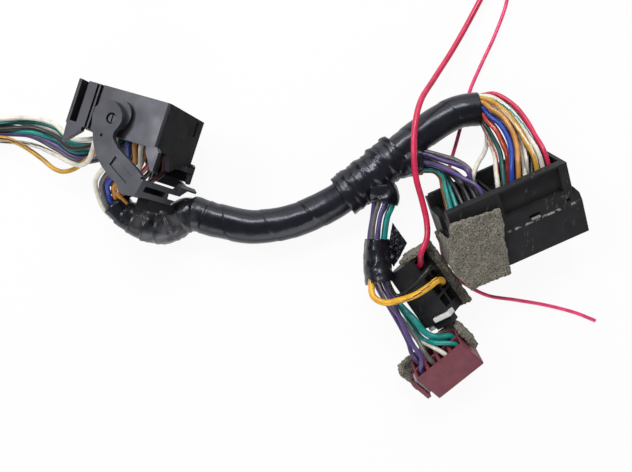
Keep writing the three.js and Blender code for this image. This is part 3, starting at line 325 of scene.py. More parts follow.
def directions(line):
    ahead = np.gradient(line, axis=0)
    return ahead / np.linalg.norm(ahead, axis=1)[:, None]


def turned_frames(line):
    """Two directions across the line at each of its points, turning as little as they can."""
    ahead = directions(line)
    side = np.cross(ahead[0], (0.0, 0.0, 1.0))
    if np.linalg.norm(side) < 1e-6:
        side = np.array((1.0, 0.0, 0.0))
    sides = []
    for t in ahead:
        side = side - t * (side @ t)
        side = side / np.linalg.norm(side)
        sides.append(side)
    sides = np.array(sides)
    return sides, np.cross(ahead, sides)


def grid_mesh(name, rings, materials, chosen=None):
    """A closed skin over rings of points. chosen(ring, place) gives a face's material."""
    count, sides = rings.shape[0], rings.shape[1]
    points = rings.reshape(-1, 3).tolist() + [rings[0].mean(0).tolist(), rings[-1].mean(0).tolist()]
    faces, looks = [], []
    for i in range(count - 1):
        for k in range(sides):
            n = (k + 1) % sides
            faces.append((i * sides + k, i * sides + n, (i + 1) * sides + n, (i + 1) * sides + k))
            looks.append(chosen(i, k) if chosen else 0)
    first, last = count * sides, count * sides + 1
    for k in range(sides):
        n = (k + 1) % sides
        faces.append((first, n, k))
        faces.append((last, (count - 1) * sides + k, (count - 1) * sides + n))
        looks += [0, 0]
    mesh = bpy.data.meshes.new(name)
    mesh.from_pydata(points, [], faces)
    for material in materials:
        mesh.materials.append(material)
    mesh.polygons.foreach_set("material_index", looks)
    mesh.polygons.foreach_set("use_smooth", [True] * len(faces))
    mesh.update()
    made = bpy.data.objects.new(name, mesh)
    scene.collection.objects.link(made)
    return made


# Wire diameters over the insulation, as in part.mjs.
SIGNAL_MM, POWER_MM, THICK_LEAD_MM, THIN_LEAD_MM = 1.6, 2.2, 2.0, 1.3
# A wire's sides, the spacing of its rings in diameters, and the length over which a stripe moves on a side.
WIRE_SIDES = 20
RING_SPACING = 0.35
STRIPE_TURN = 0.0032


def wire(name, points_mm, diameter_mm, colour, stripe=""):
    """A round wire, with a thin stripe that turns slowly round it and faces up near the wire's middle."""
    line, reach = smooth_line(np.array(points_mm) * MM, diameter_mm * RING_SPACING * MM)
    across, up = turned_frames(line)
    angles = np.arange(WIRE_SIDES) * 2 * math.pi / WIRE_SIDES
    radius = diameter_mm * MM / 2
    rings = line[:, None] + radius * (
        across[:, None] * np.cos(angles)[None, :, None] + up[:, None] * np.sin(angles)[None, :, None])
    materials = [INSULATION[colour]] + ([INSULATION[stripe]] if stripe else [])
    middle = len(line) // 2
    height = across[middle][2] * np.cos(angles) + up[middle][2] * np.sin(angles)
    # The name shifts the stripe by up to four sides, so that most neighbours differ.
    shift = sum(map(ord, name)) % 5
    start = shift - int(height.argmax()) - int(reach[middle] / STRIPE_TURN)
    stripe_width = 1 if diameter_mm > THICK_LEAD_MM else 2

    def chosen(i, k):
        turned = (k + start + int(reach[i] / STRIPE_TURN)) % WIRE_SIDES
        return 1 if stripe and turned < stripe_width else 0

    made = grid_mesh(name, rings, materials, chosen)
    return made, line


# Wires: name, colour, stripe, diameter and the points that they follow, in millimetres. The wires of the CAD
# part come first, and those named x_ fill its bundles.
WIRES = [
    ("left_white_top", "cream", "", SIGNAL_MM, [
        (-149.1, 42.8, 6.3), (-142, 42.8, 6.3), (-123.3, 42.7, 6.6), (-113, 42.5, 6.6),
        (-102.4, 42.6, 7.2), (-93.6, 40.3, 8.8), (-86.8, 35.1, 11.5), (-73.1, 35, 19.7),
        (-72.3, 37.4, 19.7),
    ]),
    ("left_teal", "teal", "black", SIGNAL_MM, [
        (-149.1, 40.5, 6.3), (-142, 40.5, 6.3), (-123.8, 41, 5.6), (-113.6, 41, 5.4),
        (-101.9, 41.6, 5.2), (-93.4, 38.9, 6.6), (-87.6, 33.8, 9.2), (-70, 34, 17.1),
        (-69.2, 36.4, 17.1),
    ]),
    ("left_white_mid", "cream", "", SIGNAL_MM, [
        (-149.1, 42.8, 3.7), (-142, 42.8, 3.7), (-124.9, 42.2, 3.6), (-114.5, 42.2, 3.4),
        (-102.9, 40.9, 3), (-93.2, 36.8, 4.6), (-85.9, 31.6, 7.4), (-71.2, 34.4, 13.2),
        (-70.4, 36.8, 13.2),
    ]),
    ("left_black", "black", "", SIGNAL_MM, [
        (-149.1, 38.2, 6.3), (-142, 38.2, 6.3), (-123.3, 38.9, 6.6), (-113, 38.9, 6.6),
        (-101.1, 39.2, 7), (-93.3, 36.2, 8.6), (-86.6, 31.7, 11.6), (-70.9, 34.3, 20.4),
        (-70.2, 36.7, 20.4),
    ]),
    ("left_purple", "purple", "", SIGNAL_MM, [
        (-149.1, 35.9, 6.3), (-142, 35.9, 6.3), (-124.1, 37.5, 5), (-113.9, 37.5, 4.8),
        (-102.4, 36.8, 4.8), (-94.5, 33.8, 6.4), (-84.8, 28.7, 8.6), (-66.9, 33, 14.6),
        (-66.1, 35.3, 14.6),
    ]),
    ("left_grey", "grey", "", SIGNAL_MM, [
        (-149.1, 38.2, 3.7), (-142, 38.2, 3.7), (-125.5, 38.9, 2.4), (-115, 38.9, 2.4),
        (-103.6, 36.9, 2.2), (-95, 32.5, 3.6), (-85, 27.7, 6), (-65.9, 32.7, 11.3), (-65.1, 35, 11.3),
    ]),
    ("left_white_low", "cream", "black", SIGNAL_MM, [
        (-149.1, 35.9, 3.7), (-142, 35.9, 3.7), (-125.7, 36.2, 2), (-115.1, 35.5, 2.2),
        (-103.4, 34, 2.6), (-95.1, 30.6, 5), (-87.5, 27, 10.4), (-82.4, 25.7, 14.4), (-78.7, 27, 17.6),
        (-74.1, 35.3, 22.9), (-73.3, 37.7, 22.9),
    ]),
    ("left_ochre", "ochre", "black", SIGNAL_MM, [
        (-149.1, 33.6, 3.7), (-142, 33.6, 3.7), (-124.1, 35.4, 5), (-112.1, 35.9, 6.2),
        (-105.3, 33.2, 6.2), (-99.1, 28.8, 5.4), (-94.7, 25.4, 6.2), (-91.4, 24.3, 6.6),
        (-86.7, 25.2, 8), (-81.9, 27.8, 11), (-68.7, 33.6, 21.1), (-68, 36, 21.1),
    ]),
    ("bunch_cream", "cream", "", SIGNAL_MM, [
        (-66.7, 35.6, 25), (-67.5, 33.2, 25), (-69.7, 26.3, 21), (-74.2, 23.5, 18.3),
        (-77.5, 20.1, 14.8), (-77.8, 16.1, 11.4), (-76.5, 11.8, 10), (-73.9, 8.4, 8.9),
    ]),
    ("bunch_grey", "grey", "", SIGNAL_MM, [
        (-63.6, 34.5, 22.5), (-64.4, 32.2, 22.5), (-68.4, 25.8, 19.3), (-72.9, 22.6, 17),
        (-75.7, 19.4, 14.2), (-76, 16.6, 11.6), (-75, 13, 11), (-72.4, 9.6, 9.9),
    ]),
    ("bunch_blue", "blue", "", SIGNAL_MM, [
        (-62.4, 34.1, 26.4), (-63.1, 31.8, 26.4), (-66, 25.1, 20), (-70.7, 21.8, 17.4),
        (-73.5, 19.1, 14.8), (-73.9, 16.9, 12.6), (-73.6, 14.2, 11.4), (-70.9, 10.7, 10.3),
    ]),
    ("bunch_orange", "orange", "", SIGNAL_MM, [
        (-59.2, 33.1, 23.9), (-60, 30.7, 23.9), (-64.5, 23.9, 19), (-68.8, 20.9, 16.4),
        (-71.7, 18.8, 13.8), (-72.2, 17.3, 12), (-72.1, 15.3, 11), (-69.4, 11.9, 9.9),
    ]),
    ("bunch_white", "cream", "red", SIGNAL_MM, [
        (-58, 32.7, 27.8), (-58.8, 30.3, 27.8), (-62.1, 23.6, 19), (-66.6, 20.1, 16.2),
        (-69.5, 18.5, 13.8), (-70.3, 17.4, 12.2), (-70.5, 16.6, 10), (-67.8, 13.1, 8.9),
    ]),
    ("bunch_pink", "pink", "", SIGNAL_MM, [
        (-62.7, 34.2, 19.2), (-63.4, 31.8, 19.2), (-69.9, 24.7, 15), (-74.6, 21.2, 12.8),
        (-77, 18.4, 10.6), (-76.5, 16.1, 9), (-75, 13, 8.8), (-72.3, 9.6, 7.7),
    ]),
    ("fan_crimson", "crimson", "", SIGNAL_MM, [
        (46.9, 50.1, 7.7), (51.4, 50.1, 7.8), (55.8, 50.4, 9.4), (61.3, 46.2, 12.5), (64.6, 40.4, 16),
        (66.4, 34.9, 19.2), (68, 30, 22.2), (70.9, 21.4, 22),
    ]),
    ("fan_cream", "cream", "teal", SIGNAL_MM, [
        (46.9, 49.6, 9.4), (51.4, 49.6, 9.6), (54.7, 48.8, 11.2), (59.3, 44.5, 14.2), (62.6, 39.2, 17),
        (64.5, 33.8, 20.2), (66.2, 28.9, 22.8), (68.8, 20.5, 22),
    ]),
    ("fan_ochre", "ochre", "cream", SIGNAL_MM, [
        (46.9, 48.5, 10.8), (51.4, 48.5, 11), (53.9, 47.3, 12.7), (57.9, 43.1, 15.6),
        (61.4, 37.5, 17.6), (63.1, 32.4, 20.6), (64.8, 27.3, 23.2), (66.7, 19.6, 22),
    ]),
    ("fan_black", "black", "", SIGNAL_MM, [
        (46.9, 47.8, 8.2), (51.4, 47.8, 8.3), (56.9, 47.1, 9.4), (60.9, 42.3, 11.6), (63.4, 37.3, 14.4),
        (64.6, 31.9, 17.4), (64.9, 27.3, 20.4), (64.6, 18.6, 22),
    ]),
    ("fan_orange", "orange", "", SIGNAL_MM, [
        (46.9, 46.8, 11.7), (51.4, 46.9, 11.9), (53.3, 44.7, 13.9), (57.1, 41.4, 15.6),
        (59.6, 36.1, 17.8), (60.2, 30.8, 20.6), (59.7, 25.4, 23.2), (60.4, 16.8, 22),
    ]),
    ("fan_blue", "blue", "", SIGNAL_MM, [
        (46.9, 44.9, 11.8), (51.4, 44.9, 12), (53, 42.8, 12.4), (56.2, 39.3, 14.6), (58.1, 34.5, 17.4),
        (58.4, 29.2, 20.6), (57.7, 24.5, 23), (58.3, 15.8, 22),
    ]),
    ("fan_white_black", "cream", "black", SIGNAL_MM, [
        (46.9, 45.1, 9.4), (51.4, 45.1, 9.6), (57.1, 43.3, 9.8), (60.3, 38.7, 12), (62.2, 33.9, 15),
        (62.8, 28.9, 18.4), (62.5, 17.7, 22),
    ]),
    ("fan_orange_red", "red", "", SIGNAL_MM, [
        (46.9, 43.1, 11.1), (51.4, 43.1, 11.3), (52.9, 41, 11.4), (55.7, 37.2, 13), (57.6, 32.4, 14),
        (58.4, 28.9, 15.6), (59.1, 19.8, 15.2),
    ]),
    ("fan_white_red", "cream", "red", SIGNAL_MM, [
        (46.9, 41.1, 7.9), (51.4, 41.1, 8.1), (53.2, 38.5, 8), (54, 33.4, 11.5), (54.4, 28.5, 16),
        (53.5, 23.5, 20.4), (54.1, 14, 22),
    ]),
    ("fan_teal_dark", "dark_teal", "black", SIGNAL_MM, [
        (46.9, 41.7, 9.7), (51.4, 41.8, 9.8), (52.8, 39.6, 10), (54.5, 34.8, 13.2), (55.5, 30, 17.2),
        (55.3, 25, 20.8), (56.2, 14.9, 22),
    ]),
    ("fan_purple", "purple", "", SIGNAL_MM, [
        (46.9, 45.6, 6.8), (51.4, 45.6, 7), (58.3, 42.3, 6.8), (61, 37.9, 9), (61.5, 32.4, 14.2),
        (61.3, 27.7, 17.4), (61.9, 19.2, 18.6),
    ]),
    ("fan_loop_white", "cream", "", SIGNAL_MM, [
        (46.9, 43.1, 7.4), (51.4, 43.2, 7.5), (54.1, 39.5, 5), (54.2, 34.5, 6.6), (52.3, 30.3, 10),
        (49.1, 26.1, 14), (47.1, 21.7, 16.2), (48, 16.7, 11.8),
    ]),
    ("right_purple_top", "purple", "", SIGNAL_MM, [
        (27.2, 29.2, 10), (31.6, 29.8, 10), (37.5, 27.7, 11.5), (42.2, 25.7, 14.4), (45.3, 23.1, 17.4),
        (46.6, 14.3, 15.2),
    ]),
    ("right_purple_front", "purple", "", SIGNAL_MM, [
        (27.5, 26.3, 10.8), (32, 26.8, 10.8), (37.9, 24.3, 15.4), (43.9, 20.3, 20), (47.4, 17.7, 21.4),
        (50, 12.2, 22),
    ]),
    ("right_grey", "grey", "", SIGNAL_MM, [
        (27.3, 27.8, 8.2), (31.8, 28.4, 8.2), (36.7, 26.4, 10), (40.3, 24.2, 12.6), (42.5, 20.9, 16.2),
        (45.1, 11.8, 18.6),
    ]),
    ("right_teal", "teal", "black", SIGNAL_MM, [
        (27.7, 24.5, 9.2), (32.2, 25, 9.2), (35.8, 24.4, 11.6), (37.6, 21.7, 15), (37.5, 17.1, 19.6),
        (39.5, 7.5, 22),
    ]),
    ("right_black", "black", "", SIGNAL_MM, [
        (27.7, 25.1, 7), (32.1, 25.6, 7), (36.4, 25.2, 8), (38.9, 22.4, 12.6), (40.5, 18.2, 17.6),
        (43.7, 9.4, 22),
    ]),
    ("down_purple_low", "purple", "", SIGNAL_MM, [
        (15.9, 17.9, 8.1), (15.3, 13.4, 8.1), (14.8, 8.7, 7.4), (13.8, 1.5, 7), (14, -6.7, 6.8),
        (16.4, -15, 6.6), (20.6, -22.2, 6.4), (24, -28, 6.4), (27.1, -34.2, 6.8), (28.3, -38.1, 7.6),
        (30.4, -40.9, 8.7), (34.5, -44.6, 6.6),
    ]),
    ("down_grey", "grey", "white", SIGNAL_MM, [
        (17.3, 17.7, 9.5), (16.7, 13.2, 9.5), (15.7, 10, 9.2), (14.5, 1.5, 8.8), (15.1, -6.7, 8.2),
        (17.5, -15.2, 8.4), (21.3, -21.9, 9.2), (26.2, -27.9, 10.2), (29.7, -33, 12), (32, -37.1, 14),
        (34.2, -39.7, 14.1), (38.3, -43.4, 11.9),
    ]),
    ("down_purple_top", "purple", "", SIGNAL_MM, [
        (19.4, 17.4, 10.1), (18.7, 12.9, 10.1), (17.5, 9.6, 9.8), (16.3, 1.5, 9.4), (16.5, -6.6, 9.6),
        (18.6, -13.7, 10.4), (21.7, -20.7, 11.2), (25, -28.5, 12.8), (27.7, -34, 14), (30.4, -38.1, 15),
        (30.8, -42.9, 12.9), (34.9, -46.5, 10.8),
    ]),
    ("down_teal_top", "teal", "black", POWER_MM, [
        (22, 17, 8.9), (21.3, 12.5, 8.9), (19.8, 8.8, 8.4), (18.7, 0.8, 8), (18.5, -6.7, 6.6),
        (19.9, -14.6, 6.6), (23.4, -20.4, 8.4), (28.4, -25.7, 11.6), (32.2, -30.2, 12.6),
        (36.1, -31.6, 13.2), (40.6, -31.4, 12.2), (44.8, -35.1, 10.1),
    ]),
    ("down_teal_low", "teal", "black", SIGNAL_MM, [
        (20.2, 17.3, 7.7), (19.5, 12.8, 7.7), (17.6, 8.8, 6.6), (16.9, 0.8, 5.6), (17.3, -6.8, 4.6),
        (19.6, -14.5, 4), (23.6, -20.9, 5.6), (27.6, -27, 7.6), (31.4, -32.3, 9.8), (34.9, -33, 15.1),
        (41, -33.3, 16.4), (45.2, -37, 14.2),
    ]),
    ("down_white", "cream", "black", SIGNAL_MM, [
        (17.8, 17.6, 6.1), (17.1, 13.2, 6.1), (15.7, 8.8, 4.8), (15.1, 0.8, 4.6), (15.5, -6.8, 4.2),
        (17.3, -15.2, 3.2), (22.6, -21.8, 3.8), (26.3, -29.3, 4.6), (30.2, -32.9, 7.4),
        (33.3, -34.2, 12.6), (37.6, -36.5, 15.2), (41.8, -40.2, 13.1),
    ]),
    ("down_yellow", "yellow", "black", POWER_MM, [
        (14.9, -6.5, 12.2), (14, -13.5, 13), (14.4, -17.7, 14.6), (17.9, -19.7, 16),
        (23.3, -18.7, 17.4), (28, -16.7, 19.6), (32, -13.9, 21), (34.1, -12.3, 20.6),
        (38.1, -13.5, 9.6), (33.8, -16.6, 5.2),
    ]),
    ("down_black", "black", "", SIGNAL_MM, [
        (18.3, -6.5, 11.8), (19.7, -13.7, 14.2), (22.3, -17.7, 14.6), (26.8, -14.4, 17.6),
        (30.4, -10.4, 19.5), (32.6, -8.2, 18.4), (35.4, -9.6, 9.6), (31, -12.6, 5.2),
    ]),
    ("red_lead_thick", "crimson", "", THICK_LEAD_MM, [
        (25.7, -10.6, 9), (30, -7.5, 13.4), (29.8, -3.7, 17.2), (31.7, 1.5, 17.6), (31.7, 7.1, 17),
        (30, 14.3, 17.4), (28, 21, 18.8), (27.2, 28.7, 19.4), (27.8, 39.1, 18.6), (30.2, 47.1, 15),
        (35.4, 55.3, 10), (42.7, 66.5, 5), (48.8, 77, 2.6), (53, 84.9, 2), (55.7, 90.1, 2.2),
        (58.8, 96.7, 2.9), (58.8, 101.7, 2.9),
    ]),
    ("red_lead_thin", "red_pink", "", THIN_LEAD_MM, [
        (60.6, 101.7, 2.9), (60.6, 96.7, 2.9), (62.9, 92.8, 1.6), (62.7, 85.2, 1), (58.5, 73, 0.9),
        (53.6, 62.4, 0.8), (49.7, 53.3, 0.8), (46.6, 41.3, 0.8), (45, 35.3, 0.8), (42.7, 27.2, 0.8),
        (40.6, 17.7, 0.8), (39.3, 7.8, 0.8), (39.3, 1.4, 0.8), (40.2, -4.4, 0.8), (42.7, -10.6, 0.9),
        (48.6, -15.1, 1), (55.8, -18.7, 0.9), (65.6, -20.3, 0.8), (76.2, -22.1, 0.8),
        (86.7, -24.8, 0.8), (93.8, -27.6, 0.8),
    ]),
    ("x_left_black", "black", "", SIGNAL_MM, [
        (-149.1, 40.5, 3.7), (-142, 40.5, 3.7), (-125.4, 40.5, 2.6), (-114.9, 40.5, 2.6),
        (-103.1, 39.1, 2.4), (-93.4, 34.8, 4), (-85.5, 29.7, 6.6), (-68.1, 33.4, 10.6),
        (-67.3, 35.7, 10.6),
    ]),
    ("x_left_dark", "teal", "", SIGNAL_MM, [
        (-149.1, 33.6, 6.3), (-142, 33.6, 6.3), (-125, 38.2, 3.4), (-114.3, 38.4, 3.8),
        (-101.3, 37.7, 6.6), (-93.6, 35, 6.2), (-85.9, 30.7, 9.4), (-69, 33.7, 13.9), (-68.3, 36, 13.9),
    ]),
    ("x_bunch_black", "black", "", SIGNAL_MM, [
        (-61.4, 33.8, 23.2), (-62.2, 31.4, 23.2), (-67.3, 23.6, 16), (-72.7, 20.9, 12.6),
        (-75.3, 18.7, 10.6), (-75.1, 16.1, 9.2), (-73.3, 14.3, 9), (-70.6, 10.9, 7.9),
    ]),
    ("x_bunch_orange", "grey", "", SIGNAL_MM, [
        (-60.5, 33.5, 19.9), (-61.2, 31.1, 19.9), (-64.7, 27, 17.5), (-66.6, 23.3, 15),
        (-71, 19.7, 11.6), (-73.2, 17.1, 9.8), (-71.9, 15.4, 8.8), (-69.2, 12, 7.7),
    ]),
    ("x_bunch_grey", "orange", "", SIGNAL_MM, [
        (-60.2, 33.4, 27.1), (-61, 31, 27.1), (-62.6, 26.5, 21.6), (-65.5, 23.4, 17.6),
        (-70, 19.6, 14.2), (-71.9, 17.3, 11.2), (-71, 16.2, 11.6), (-68.3, 12.8, 10.5),
    ]),
    ("x_bunch_amber", "orange", "cream", SIGNAL_MM, [
        (-57.1, 32.4, 24.6), (-57.8, 30, 24.6), (-60.1, 27, 20.4), (-62.7, 23.8, 17.2),
        (-67.1, 20.2, 13.4), (-70.2, 17.7, 10.6), (-70.5, 16.6, 8), (-67.8, 13.1, 6.9),
    ]),
    ("x_bunch_pink", "pink", "", SIGNAL_MM, [
        (-54.9, 31.7, 25.3), (-55.6, 29.3, 25.3), (-58.3, 25.9, 19), (-61.2, 23.5, 16.6),
        (-66, 20.1, 12.4), (-70.4, 17.2, 8.8), (-71.8, 15.5, 6.6), (-69.1, 12.1, 5.5),
    ]),
    ("x_bunch_dark", "black", "", SIGNAL_MM, [
        (-53.9, 31.4, 22), (-54.7, 29, 22), (-58.1, 24.6, 16), (-60.9, 22.1, 14), (-66.1, 19.1, 9.8),
        (-71, 16.3, 7), (-73.2, 14.4, 6.8), (-70.6, 11, 5.7),
    ]),
    ("x_bunch_maroon", "maroon", "", SIGNAL_MM, [
        (-53, 31.1, 18.8), (-53.8, 28.7, 18.8), (-55.3, 23.4, 14), (-59.3, 20.6, 12.6), (-65, 18.5, 9),
        (-72, 15.3, 6), (-74.8, 13.2, 6.8), (-72.1, 9.7, 5.7),
    ]),
    ("x_bunch_back", "black", "", SIGNAL_MM, [
        (-55.2, 31.8, 18.1), (-55.9, 29.4, 18.1), (-59.9, 21.1, 10), (-64, 18.3, 7.6),
        (-69.8, 15.6, 6.2), (-73.3, 13.9, 6), (-73.2, 14.4, 5), (-70.6, 11, 3.9),
    ]),
    ("x_bunch_low", "black", "", SIGNAL_MM, [
        (-56.4, 32.2, 14.1), (-57.2, 29.8, 14.1), (-62.1, 20, 7), (-67.4, 17.4, 5.2),
        (-72.3, 14.7, 4.8), (-74.9, 13.6, 5.4), (-76.1, 12.2, 7.8), (-73.4, 8.8, 6.7),
    ]),
    ("x_bunch_under", "grey", "", SIGNAL_MM, [
        (-59.5, 33.2, 16.7), (-60.3, 30.8, 16.7), (-69.1, 22.7, 11), (-74.5, 19.9, 9),
        (-77.3, 17.2, 7.6), (-77.1, 14.9, 7), (-76.1, 12.2, 9), (-73.4, 8.8, 7.9),
    ]),
    ("x_fan_white_black", "cream", "black", SIGNAL_MM, [
        (46.9, 46.9, 9.2), (51.4, 46.9, 9.4), (56.4, 45.3, 11), (59.9, 41, 13), (62.2, 35.9, 15.8),
        (63.1, 30.4, 19.2), (63.1, 26.3, 21.2), (64, 20.2, 18.6),
    ]),
    ("x_fan_black", "black", "", SIGNAL_MM, [
        (46.9, 46.1, 7.6), (51.4, 46.1, 7.8), (58.3, 44.2, 8), (62, 39.3, 10.4), (64.7, 34.3, 12.6),
        (65.9, 30, 15), (66.1, 21.1, 18.6),
    ]),
    ("x_fan_dark", "black", "", SIGNAL_MM, [
        (46.9, 45.3, 8.1), (51.4, 45.3, 8.3), (58.2, 42.6, 8.2), (61.5, 38.1, 10.4), (63.2, 32.9, 12.6),
        (63.3, 28.3, 15.4), (61.2, 20.8, 15.2),
    ]),
    ("x_fan_purple", "purple", "", SIGNAL_MM, [
        (46.9, 43.6, 8.5), (51.4, 43.7, 8.6), (56, 40.2, 7.4), (58.2, 35.4, 9.6), (59.3, 30.7, 12),
        (59.1, 26.7, 14.4), (57, 18.9, 15.2),
    ]),
    ("x_fan_teal", "teal", "", SIGNAL_MM, [
        (46.9, 48.2, 7.1), (51.4, 48.2, 7.3), (58, 49, 7.8), (63.2, 44, 10.8), (66.6, 38, 14.4),
        (68.1, 32.6, 17.6), (69.5, 28, 19.8), (68.2, 22, 18.6),
    ]),
    ("x_right_grey", "grey", "", SIGNAL_MM, [
        (27, 30.5, 8.4), (31.5, 31.1, 8.4), (38.1, 29.3, 10), (42.6, 27.4, 12.6), (46.3, 23.8, 15.2),
        (48.7, 15.2, 15.2),
    ]),
    ("x_right_black", "black", "", SIGNAL_MM, [
        (27.5, 26.7, 6.6), (31.9, 27.2, 6.6), (37.5, 25.1, 8), (41.2, 22.2, 13), (43.4, 17.8, 18),
        (45.8, 10.3, 22),
    ]),
    ("x_right_dark", "black", "", SIGNAL_MM, [
        (27.3, 28.2, 6.4), (31.7, 28.8, 6.4), (38.1, 26.2, 8.4), (42.4, 23, 13.6), (45.3, 18.3, 18.4),
        (47.9, 11.2, 22),
    ]),
    ("x_right_brown", "brown", "", SIGNAL_MM, [
        (27.8, 23.9, 8), (32.3, 24.4, 8), (35.4, 24.1, 9.2), (37.1, 21.8, 12.4), (37.2, 18.3, 15.6),
        (38.8, 9, 18.6),
    ]),
    ("x_right_teal", "teal", "black", SIGNAL_MM, [
        (27.7, 24.7, 7.4), (32.2, 25.2, 7.4), (36.1, 23.7, 9.8), (38.6, 21.2, 13.6), (39.2, 16.8, 18.6),
        (41.6, 8.4, 22),
    ]),
]

# The real length of each free wire is worked out along its line; the others run between two pieces of the
# harness.
modelled = set(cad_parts)


def free_cord(made, line, diameter_mm, at_start):
    """Works out the length of a free wire along its line, from the end that it leaves the harness or the cap
    from; the length is not used further.
    """
    path = line if at_start else line[::-1]
    length = float(np.linalg.norm(np.diff(path, axis=0), axis=1).sum())
    tuple(path[0])
    [tuple(p) for p in path]


for name, colour, stripe, diameter, points in WIRES:
    made, line = wire("look_" + name, points, diameter, colour, stripe)
    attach(made, "harness")
    if name in modelled:
        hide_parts(name)
    if name.startswith(("left_", "x_left_")):
        free_cord(made, line, diameter, False)
    if name == "red_lead_thick":
        free_cord(made, line, diameter, True)
    if name == "red_lead_thin":
        free_cord(made, line, diameter, True)


# Taped skins. A section's half width and half height come from its place along the line.
TRUNK_MM = [
    (-73.3, 13.8, 8.5), (-68.9, 9.4, 7.2), (-62.9, 6, 6.6), (-56, 5.3, 6.5), (-47.8, 9.8, 6.3),
    (-38.6, 7.5, 6), (-25.8, 5.3, 6), (-12.4, 7.4, 6), (-0.7, 12.5, 6.2), (7.2, 17.6, 6.9),
    (18.1, 26.2, 7.2), (29.8, 35.8, 7), (40.2, 42.8, 7), (46.1, 45, 7.3), (50.9, 45.6, 7.5),
]
# The crumpled wrap's ends, as shares of the trunk's length, and where the branches leave it, as shares of the
# wrap's points.
WRAP_FROM, WRAP_TO = 0.60, 0.78
RIGHT_AT, DOWN_AT = 0.62, 0.3
# The mouth of each branch, the direction that its wires leave in, and the length of its straight end.
RIGHT_MOUTH_MM, RIGHT_AHEAD = (31.3, 28.1, 8.0), (0.993, 0.119, 0)
DOWN_MOUTH_MM, DOWN_AHEAD = (18.4, 13.5, 7.5), (-0.148, -0.989, 0)
STUB_MM = 3
SMALL_TAPE_MM = [(16.2, 1.2, 8), (16.2, -3.9, 8), (16.5, -8.4, 8.4), (17.3, -13.6, 9.2)]
FLAG_MM = [
    (20.2, -0.4, 8.6), (21.4, 6.8, 9.2), (26.4, -0.2, 8.8),
    (24.1, -4.8, 8.6), (21.9, -8.3, 8.4), (19.6, -4.6, 8.4),
]


def creases(point, scale, amount):
    """Sharp folds, in millimetres, at a point in millimetres."""
    v = Vector(point) * scale
    return amount * (1 - 2 * abs(noise.noise(v)) - 0.6 * abs(noise.noise(v * 2.3 + Vector((7, 1, 3)))))


# Spacing of a skin's rings, the sides of each, and how far off the line its creases are looked up.
SKIN_SPACING_MM = 0.4
SKIN_SIDES = 72
CREASE_RADIUS_MM = 5


def skin(name, points_mm, section, material):
    """A taped skin. section(t, angle, reach, place) gives the half width and half height in millimetres."""
    line, reach = smooth_line(points_mm, SKIN_SPACING_MM)
    ahead = directions(line)
    across = np.cross(ahead, (0.0, 0.0, 1.0))
    across /= np.linalg.norm(across, axis=1)[:, None]
    up = np.cross(across, ahead)
    rings = np.zeros((len(line), SKIN_SIDES, 3))
    for i, centre in enumerate(line):
        for k in range(SKIN_SIDES):
            angle = 2 * math.pi * k / SKIN_SIDES
            aside, above = across[i] * math.cos(angle), up[i] * math.sin(angle)
            place = centre + aside * CREASE_RADIUS_MM + above * CREASE_RADIUS_MM
            width, height = section(reach[i] / reach[-1], angle, reach[i], place)
            rings[i, k] = centre + aside * width + above * height
    made = grid_mesh(name, rings[:, ::-1] * MM, [material])
    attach(made, "harness")
    return made


# Share of a lap's pitch over which its step rises.
STEP = 0.06


def lap(reach, angle, pitch, rise, slope):
    """The step where a turn of tape lies over the last one."""
    phase = (reach / pitch + slope * angle / (2 * math.pi)) % 1.0
    return rise * (1.0 - phase) if phase > STEP else rise * phase / STEP


# Radii of the trunk at shares of its length, the share where the bend's short laps end, and the share over
# which they fade.
TRUNK_PLACES = (0.0, 0.06, 0.12, 0.20, 0.30, 1.0)
TRUNK_RADII_MM = (4.4, 5.1, 5.6, 5.9, 5.7, 5.5)
BEND_END, BEND_FADE = 0.27, 0.05
# Half widths and half heights of the wraps, and what the small wrap gains along its length.
WRAP_MM = (7.2, 6.6)
STUB_RADIUS_MM = 5.0
SMALL_WRAP_MM = (3.9, 6.0)
SMALL_WRAP_GAIN_MM = 1.0


def trunk_section(t, angle, reach, place):
    """Long laps of tape, and short steep ones with creases between them round the bend."""
    bend = min(1.0, max(0.0, (BEND_END - t) / BEND_FADE))
    long_laps = lap(reach, angle, pitch=15.0, rise=0.22, slope=0.8) + 0.07 * math.sin(5 * angle + reach / 11)
    short_laps = lap(reach, angle, pitch=4.3, rise=0.60, slope=-0.35) - 0.35
    short_laps += creases(place, scale=0.30, amount=0.16)
    radius = float(np.interp(t, TRUNK_PLACES, TRUNK_RADII_MM))
    radius += (1 - bend) * long_laps + bend * short_laps + creases(place, scale=0.12, amount=0.10)
    return radius, radius


def wrap_section(t, angle, reach, place):
    """Crumpled tape with two windings that cross."""
    fold = creases(place, scale=0.14, amount=0.35) + creases(place, scale=0.45, amount=0.12) - 0.5
    fold += lap(reach, angle, pitch=6.5, rise=0.55, slope=1.3)
    fold += lap(reach, angle, pitch=2.9, rise=0.30, slope=-0.9)
    return WRAP_MM[0] + fold, WRAP_MM[1] + 0.7 * fold


def stub_section(t, angle, reach, place):
    fold = creases(place, scale=0.25, amount=0.40) - 0.1
    return STUB_RADIUS_MM + fold, STUB_RADIUS_MM + fold


def small_section(t, angle, reach, place):
    fold = creases(place, scale=0.28, amount=0.40)
    gain = SMALL_WRAP_GAIN_MM * t
    return SMALL_WRAP_MM[0] + gain + fold, SMALL_WRAP_MM[1] + gain + 0.5 * fold


# The wrap follows every fourth of these points on the trunk's line.
WRAP_SPACING_MM = 0.5
WRAP_STEP = 4

